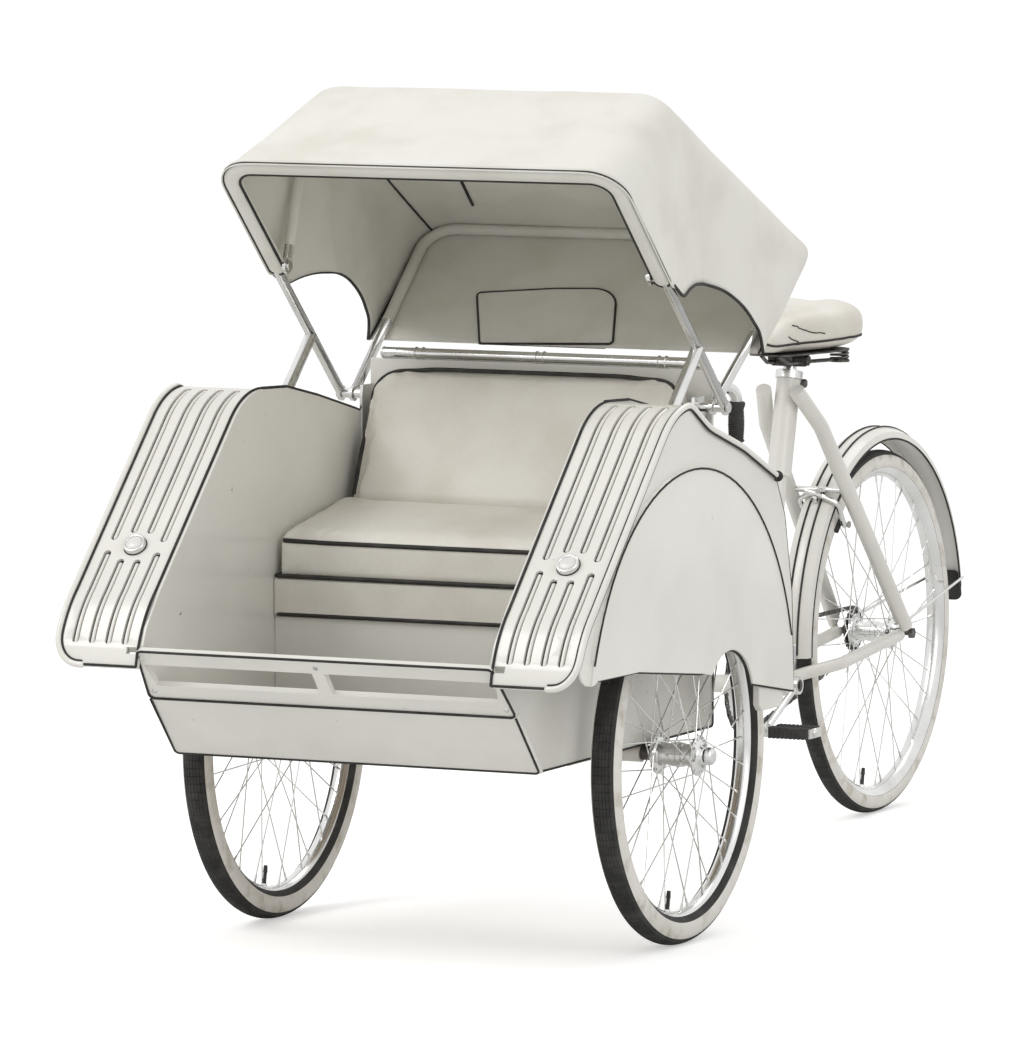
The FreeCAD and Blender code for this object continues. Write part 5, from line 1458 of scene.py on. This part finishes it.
def makeGuardDetails():  # beads over the crest and along the edges, flap and reflector
    guard = {"from": 9, "to": 181, "crest": 0.4003, "edge": 0.3775, "flapTurn": 8, "flapReach": 0.397}
    trim = bmesh.new()
    for sign in (1, -1):
        for x, reach, past, radius in ((0.0105, guard["crest"], 0, 0.0021),
                                       (0.0312, guard["edge"], 1, 0.0020)):
            run = arcRun(sign * x, rearAxle, reach, guard["from"] - past, guard["to"] + past, 86)
            absorb(trim, pipe(run, radius))
    piece("mudguard_beads", trim, [beadRubberAndPaintedShade], "rear_frame", angle=60)

    tip = arcRun(0, rearAxle, guard["flapReach"], guard["flapTurn"], guard["flapTurn"], 1)[0]
    left = [tip + Vector((-0.026, -0.010, 0.030)), tip + Vector((-0.028, -0.002, -0.030))]
    corners = [left[0]] + mirrored(left) + [left[1]]
    whole = bmesh.new()
    absorb(whole, plate(rounded(corners, 0.014, 6, closed=True), aftward * -0.004))
    spot = tip + Vector((0, -0.0005, 0.006))
    back = Vector((0, 1, 0.08)).normalized()
    absorb(whole, bar(spot - back * 0.003, spot + back * 0.0035, 0.0185, 32), 1)
    absorb(whole, dome(spot + back * 0.003, 0.0162, back, 0.18, 28), 2)
    for x in (0.019, -0.019):
        absorb(whole, dome(tip + Vector((x, -0.006, 0.024)), 0.0036, back, 0.5, 10), 1)
    piece("mudguard_flap", whole, [gripRubber, chrome, reflector], "rear_frame", angle=40)


makeGuardDetails()


def makeRearBrake():  # caliper hung from the mudguard bridge, pads at the rim
    look = {"turn": 132.2, "reach": 0.409, "arm": 0.0052, "spread": 0.038}
    turn = math.radians(look["turn"])
    radial = Vector((0, math.cos(turn), math.sin(turn)))
    ahead = Vector((0, -math.sin(turn), math.cos(turn)))
    hinge = Vector((0, rearAxle.y, rearAxle.z)) + radial * look["reach"] + ahead * 0.016
    whole, pads = bmesh.new(), bmesh.new()
    absorb(whole, bar(hinge - ahead * 0.018, hinge + ahead * 0.012, 0.0042, 12))
    absorb(whole, bar(hinge + ahead * 0.010, hinge + ahead * 0.016, 0.0078, 6))
    for sign in (1, -1):
        out = across * sign
        arm = [hinge + radial * 0.012 - out * 0.020, hinge + out * 0.012,
               hinge + out * 0.041 - radial * 0.018, hinge + out * look["spread"] - radial * 0.084]
        lapped = [p + ahead * (0.004 * sign) for p in arm]
        absorb(whole, pipe(spaced(rounded(lapped, 0.016, 6), 0.006), look["arm"]))
        shoe = hinge + out * look["spread"] - radial * 0.082
        absorb(whole, bar(shoe + out * 0.008, shoe - out * 0.010, 0.0036, 10))
        absorb(whole, bar(shoe + out * 0.006, shoe + out * 0.010, 0.0068, 6))
        pad = shoe - out * 0.0125
        absorb(pads, bar(pad - ahead * 0.020, pad + ahead * 0.020, 0.0050, 8))
    piece("brake_caliper", whole, [chrome], "rear_frame", angle=40)
    piece("brake_pads", pads, [gripRubber], "rear_frame", 0.0008, 40)


makeRearBrake()


def makeFrameFastenings():  # pinch bolt at the seat post and bands on the head tube
    look = {"bolt": 0.0042, "half": 0.026, "nut": 0.0085, "band": 0.0232, "wire": 0.0022}
    whole = bmesh.new()
    clamp = Vector((0, middleOf("seat_post").y + 0.020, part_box("seat_tube")[1].z - 0.014))
    absorb(whole, bar(clamp - across * look["half"], clamp + across * look["half"], look["bolt"], 12))
    for sign in (1, -1):
        absorb(whole, bar(clamp + across * sign * 0.022, clamp + across * sign * 0.029, look["nut"], 6))
    foot = Vector((0, middleOf("kingpin").y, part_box("backbone")[0].z))
    for rise in (0.0015, 0.184):
        absorb(whole, hoop(foot + upward * rise, upward, look["band"], look["wire"], 40, 8))
    piece("frame_fastenings", whole, [oiled], "rear_frame", 0.0004, 40)


makeFrameFastenings()
print("rear frame dressed")


def makeSaddle():
    look = {"sides": 20, "welt": 0.0024, "crease": 0.0040, "creaseReach": 0.011, "creaseShadeLine": 0.0013}
    low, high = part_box("saddle")
    bottom, top, post = low.z, high.z, low.y + 0.160
    rows = [
        # aft of the post, half width, low edge over the bottom, high edge under the top
        (-0.158, 0.014, 0.022, 0.062), (-0.150, 0.028, 0.012, 0.052), (-0.120, 0.036, 0.005, 0.036),
        (-0.080, 0.046, 0.002, 0.022), (-0.035, 0.064, 0, 0.014), (0.010, 0.088, 0, 0.008),
        (0.055, 0.101, 0, 0.002), (0.095, 0.104, 0, 0), (0.125, 0.096, 0.004, 0.006),
        (0.143, 0.078, 0.012, 0.020), (0.148, 0.052, 0.024, 0.036)]
    shape = bmesh.new()
    rings, welt = [], []
    for back, half, rise, fall in rows:
        floor, roof = bottom + rise, top - fall
        verts = []
        for i in range(look["sides"]):
            turn = math.tau * i / look["sides"]
            c, s = math.cos(turn), math.sin(turn)
            x = half * math.copysign(abs(c) ** 0.75, c)
            z = (floor + roof) / 2 + (roof - floor) / 2 * math.copysign(abs(s) ** 0.72, s)
            if s > 0:  # the groove along the top
                z -= 0.006 * math.exp(-(x / 0.022) ** 2) * max(0.0, min(1.0, (back + 0.10) / 0.1))
            verts.append(shape.verts.new(Vector((x, post + back, z))))
        rings.append([shape.edges.new((verts[i - 1], verts[i])) for i in range(len(verts))])
        welt.append(Vector((half, post + back, floor + (roof - floor) * 0.24)))
    for first, second in zip(rings, rings[1:]):
        bmesh.ops.bridge_loops(shape, edges=first + second)
    bmesh.ops.holes_fill(shape, edges=rings[0] + rings[-1], sides=look["sides"])
    bmesh.ops.poke(shape, faces=[f for f in shape.faces if len(f.verts) > 4])
    bmesh.ops.recalc_face_normals(shape, faces=shape.faces)
    bmesh.ops.subdivide_edges(shape, edges=shape.edges[:], cuts=2, smooth=0.6, use_grid_fill=True)
    creases = []
    for sign in (1, -1):
        for run in (((0.046, -0.090, 0.058), (0.058, -0.045, 0.040), (0.076, -0.012, 0.036)),
                    ((0.044, -0.104, 0.034), (0.052, -0.074, 0.022))):
            creases.append([Vector((sign * x, post + back, bottom + z)) for x, back, z in run])
    shape.normal_update()
    for run in creases:
        points = spaced(run, 0.003)
        for vertex in shape.verts:
            away = min((vertex.co - p).length for p in points)
            if away < look["creaseReach"]:
                vertex.co -= vertex.normal * look["crease"] * (1 - away / look["creaseReach"]) ** 2
    saddle = piece("saddle_cover", shape, [vinyl], "rear_frame", angle=180, levels=1)
    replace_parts(saddle, "saddle")
    tree = surfaceOf(saddle)
    whole = bmesh.new()
    loop = spaced(welt + mirrored(welt)[::-1] + welt[:1], 0.006)[:-1]
    absorb(whole, pipe(settled(loop, tree, 0.0008), look["welt"], closed=True))
    # the dark lines laid along the creases are painted shade; the loop round the sides is the real welt
    for run in creases:
        absorb(whole, pipe(settled(eased(spaced(run, 0.004), 12), tree, 0.0004), look["creaseShadeLine"]))
    piece("saddle_welt_and_crease_shade", whole, [vinylPipingAndCreaseShade], "rear_frame", angle=60)


makeSaddle()


def coil(foot, height, radius, wire, turns):  # open compression spring standing on its foot
    steps = int(turns * 20)
    points = []
    for step in range(steps + 1):
        turn = math.tau * step / 20
        points.append(foot + Vector((math.cos(turn), math.sin(turn), 0)) * radius
                      + upward * (height * step / steps))
    return pipe(points, wire)


def makeSpringBox():  # saddle pan on two coil springs over the post clamp
    look = {"spring": 0.0165, "wire": 0.0026, "turns": 3.5, "cup": 0.0195, "rail": 0.0038}
    low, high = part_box("saddle_cradle")
    post = middleOf("seat_post").y
    height = high.z - low.z
    whole = bmesh.new()
    for sign in (1, -1):
        rail = [Vector((sign * 0.018, low.y + 0.010, high.z - 0.003)),
                Vector((sign * 0.022, post - 0.05, low.z + 0.008)),
                Vector((sign * 0.030, post + 0.03, low.z + 0.006)),
                Vector((sign * 0.058, high.y - 0.040, low.z + 0.006))]
        absorb(whole, pipe(spaced(rounded(rail, 0.03, 6), 0.01), look["rail"]))
        foot = Vector((sign * 0.060, high.y - 0.034, low.z + 0.004))
        absorb(whole, coil(foot, height - 0.003, look["spring"], look["wire"], look["turns"]))
        for start, end in ((-0.003, 0.001), (height - 0.006, height - 0.003)):
            absorb(whole, bar(foot + upward * start, foot + upward * end, look["cup"], 24))
    clamp = Vector((0, post + 0.006, low.z + 0.010))
    absorb(whole, bar(clamp - across * 0.034, clamp + across * 0.034, 0.0125, 20))
    for sign in (1, -1):
        absorb(whole, bar(clamp + across * sign * 0.033, clamp + across * sign * 0.041, 0.0105, 6))
    absorb(whole, block(Vector((-0.014, post - 0.012, low.z)),
                        Vector((0.014, post + 0.022, high.z - 0.004))))
    pan = ((-0.098, 0.040), (-0.020, 0.060), (0.060, 0.082), (0.122, 0.070))
    ring = [Vector((x, post + back, high.z)) for back, x in pan]
    loop = rounded(ring + mirrored(ring)[::-1], 0.02, 6, closed=True)
    absorb(whole, plate(loop, upward * -0.003))
    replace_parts(piece("saddle_springs", whole, [oiled], "rear_frame", 0.0005, 40), "saddle_cradle")


makeSpringBox()
print("saddle built")


dress("crankset", chrome, 0.0006, 40)
dress("rear_sprocket", oiled, 0.0004, 40)
crankCentre = Vector((0, *jointPlace("crank_spin").yz))


def makePedal(side, sign):  # steel cage with two ribbed rubber treads on a spindle
    look = {"tread": 0.021, "end": 0.004, "grooves": 9, "cap": 0.0095, "aside": 0.0195}
    node = f"pedal_{side}"
    low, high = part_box(node)
    aft, rise = (low.y + high.y) / 2, (low.z + high.z) / 2
    inner, outer = (low.x, high.x) if sign > 0 else (high.x, low.x)
    start = inner + sign * 0.021

    def rod(first, last, y, radius, sides):
        return bar(Vector((first, y, rise)), Vector((last, y, rise)), radius, sides)

    steel, treads = bmesh.new(), bmesh.new()
    absorb(steel, rod(inner, outer - sign * 0.001, aft, 0.0058, 16))
    thick = look["end"] / 2
    for x in (start + sign * thick, outer - sign * (thick + 0.004)):
        absorb(steel, block(Vector((x - thick, low.y + 0.004, low.z + 0.002)),
                            Vector((x + thick, high.y - 0.004, high.z - 0.002))))
    absorb(steel, dome(Vector((outer - sign * 0.004, aft, rise)), look["cap"], across, 0.45, 20))
    strips = look["grooves"] * 2
    for y in (aft - look["aside"], aft + look["aside"]):
        spot = Vector(((start + outer) / 2 - sign * 0.002, y, rise))
        half = Vector((abs(outer - start) / 2 - 0.006, look["tread"] / 2, (high.z - low.z) / 2 - 0.0012))
        tread = block(spot - half, spot + half)
        bmesh.ops.subdivide_edges(tread, edges=[e for e in tread.edges if runsAcross(e, 0.02)],
                                  cuts=strips, use_grid_fill=True)
        raised = []
        for face in tread.faces:
            place = (face.calc_center_median().x - spot.x + half.x) / (2 * half.x)
            if abs(face.normal.x) < 0.5 and int(place * (strips + 1)) % 2 == 0:
                raised.append(face)
        bmesh.ops.inset_individual(tread, faces=raised, thickness=0.0005, depth=0.0011)
        absorb(treads, tread)
        absorb(steel, rod(start, outer - sign * 0.006, y, 0.0030, 10))
    absorb(steel, treads, 1)
    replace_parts(piece(f"{node}_built", steel, [chrome, gripRubber], f"{side}_pedal"), node)


for side, sign in (("left", 1), ("right", -1)):
    makePedal(side, sign)


def makeChain():  # rollers and side plates at each pitch of the loop
    look = {"pitch": 0.0127, "ring": 46, "sprocket": 20, "roller": 0.0040, "plate": 0.0042,
            "thick": 0.0009, "width": 0.0052, "pin": 0.0016}
    low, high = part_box("chain")
    x, pitch = (low.x + high.x) / 2, look["pitch"]
    big, small = [pitch / 2 / math.sin(math.pi / look[name]) + 0.0040 for name in ("ring", "sprocket")]
    back = middleOf("rear_sprocket")
    span = Vector((back.y - crankCentre.y, back.z - crankCentre.z))
    lean = math.atan2(span.y, span.x)
    wrap = math.acos((big - small) / span.length)

    def arc(centre, radius, start, end):
        count = max(2, int(abs(end - start) * radius / 0.002))
        return arcRun(x, centre, radius, math.degrees(start), math.degrees(end), count)[:-1]

    run = arc(back, small, lean + wrap, lean - wrap)
    run += arc(crankCentre, big, lean - wrap, lean + wrap - math.tau)
    run.append(run[0])
    total = runLength(run)
    count = round(total / pitch / 2) * 2
    pins, gone, index = [], 0.0, 0
    for number in range(count):
        target = total * number / count
        while gone + (run[index + 1] - run[index]).length < target:
            gone += (run[index + 1] - run[index]).length
            index += 1
        step = (run[index + 1] - run[index]).length or 1
        pins.append(run[index].lerp(run[index + 1], (target - gone) / step))
    whole = bmesh.new()
    for number, pin in enumerate(pins):
        after = pins[(number + 1) % count]
        half = look["width"] / 2 if number % 2 else look["width"] / 2 - look["thick"] * 1.1
        for share, radius, sides in ((0.62, look["pin"], 6), (0.36, look["roller"], 8)):
            aside = across * look["width"] * share
            absorb(whole, bar(pin - aside, pin + aside, radius, sides))
        way = (after - pin).normalized()
        turn = Matrix.Rotation(math.atan2(way.z, way.y), 4, "X")
        for side in (1, -1):
            link = bar(across * look["thick"] * -0.5, across * look["thick"] * 0.5, look["plate"], 8)
            for vertex in link.verts:
                if abs(vertex.co.y) > 1e-5:
                    vertex.co.y += math.copysign(pitch / 2, vertex.co.y)
            middle = (pin + after) / 2 + across * side * half
            absorb(whole, link, 0, Matrix.Translation(middle) @ turn)
    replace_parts(piece("chain_links", whole, [oiled], "rear_frame", angle=40), "chain")


makeChain()


def makeRingBolts():  # chainring bolts, and a cap and nut on each end of the spindle
    bolt = {"count": 5, "reach": 0.064, "x": -0.045, "capX": 0.066}
    whole = bmesh.new()
    for number in range(bolt["count"]):
        turn = math.radians(360 / bolt["count"] * number + 20)
        spoke = Vector((0, math.cos(turn), math.sin(turn)))
        place = crankCentre + across * bolt["x"] + spoke * bolt["reach"]
        absorb(whole, bar(place - across * 0.0042, place + across * 0.0042, 0.0042, 10))
    for sign in (1, -1):
        out = across * sign
        end = crankCentre + out * bolt["capX"]
        absorb(whole, bar(end - out * 0.001, end + out * 0.0004, 0.0120, 24))
        absorb(whole, bar(end - out * 0.001, end + out * 0.0030, 0.0070, 6))
    piece("crank_bolts", whole, [oiled], "crank", 0.0003, 40)


makeRingBolts()
print("drive built")


def makeFloorPaper(level):  # pale paper that glows a little to the camera alone
    paper = bpy.data.materials.new("floorPaper")
    paper.use_nodes = True
    tree = paper.node_tree
    shader = tree.nodes["Principled BSDF"]
    shader.inputs["Base Color"].default_value = tone(0.82, 0.82, 0.81)
    shader.inputs["Roughness"].default_value = 0.9
    shader.inputs["Specular IOR Level"].default_value = 0.1
    seen = Signal(tree, tree.nodes.new("ShaderNodeLightPath").outputs["Is Camera Ray"])
    glow = seen.node("Emission", {}, {"Color": tone(1, 1, 1), "Strength": seen * level})
    lit = glow.node("AddShader", {}, {0: Signal(tree, shader.outputs[0]), 1: glow})
    lit.into(tree.nodes["Material Output"], "Surface")
    return paper


def makeStage():
    look = {"size": 130.0, "glow": 0.44, "skyLevel": 0.70}
    ground = bmesh.new()
    bmesh.ops.create_grid(ground, x_segments=1, y_segments=1, size=look["size"] / 2)
    floor = objectOf("studioFloor", ground)
    floor.data.materials.append(makeFloorPaper(look["glow"]))

    scene.world = bpy.data.worlds.new("studio")
    scene.world.use_nodes = True
    tree = scene.world.node_tree
    backdrop = tree.nodes["Background"]
    path = tree.nodes.new("ShaderNodeLightPath")
    seen, shine, clear = [Signal(tree, path.outputs[f"Is {kind} Ray"])
                          for kind in ("Camera", "Glossy", "Transmission")]
    white = seen.maths("MAXIMUM", seen, shine.maths("MAXIMUM", shine, clear))
    (white * (1.0 - look["skyLevel"]) + look["skyLevel"]).into(backdrop, "Strength")
    backdrop.inputs["Color"].default_value = tone(1, 1, 1)
    for name, place, watts, size in (("key", (-3.2, -4.4, 5.2), 150, 3.2),
                                     ("fill", (5.4, -3.0, 3.0), 62, 3.6),
                                     ("top", (0.8, 3.4, 5.6), 60, 3.0)):
        lamp = bpy.data.lights.new(name, "AREA")
        lamp.energy = watts
        lamp.size = size
        holder = bpy.data.objects.new(name, lamp)
        scene.collection.objects.link(holder)
        holder.location = place
        holder.rotation_euler = (Vector((0, 0, 0.7)) - holder.location).to_track_quat("-Z", "Y").to_euler()
    scene.view_settings.view_transform = "Standard"


def makeCamera():
    look = {"aim": (0.0682, -0.782, 0.7322), "azimuth": 25.08, "rise": 5.5, "distance": 15.888,
            "lens": 310.64}
    lens = bpy.data.cameras.new("view")
    lens.sensor_fit = "VERTICAL"
    lens.sensor_height = 36
    lens.lens = look["lens"]
    lens.clip_end = 100
    camera = bpy.data.objects.new("view", lens)
    scene.collection.objects.link(camera)
    turn, rise = math.radians(look["azimuth"]), math.radians(look["rise"])
    back = Vector((math.sin(turn) * math.cos(rise), -math.cos(turn) * math.cos(rise), math.sin(rise)))
    camera.location = Vector(look["aim"]) + back * look["distance"]
    camera.rotation_euler = (-back).to_track_quat("-Z", "Y").to_euler()
    scene.camera = camera


makeStage()
makeCamera()
print("stage set")
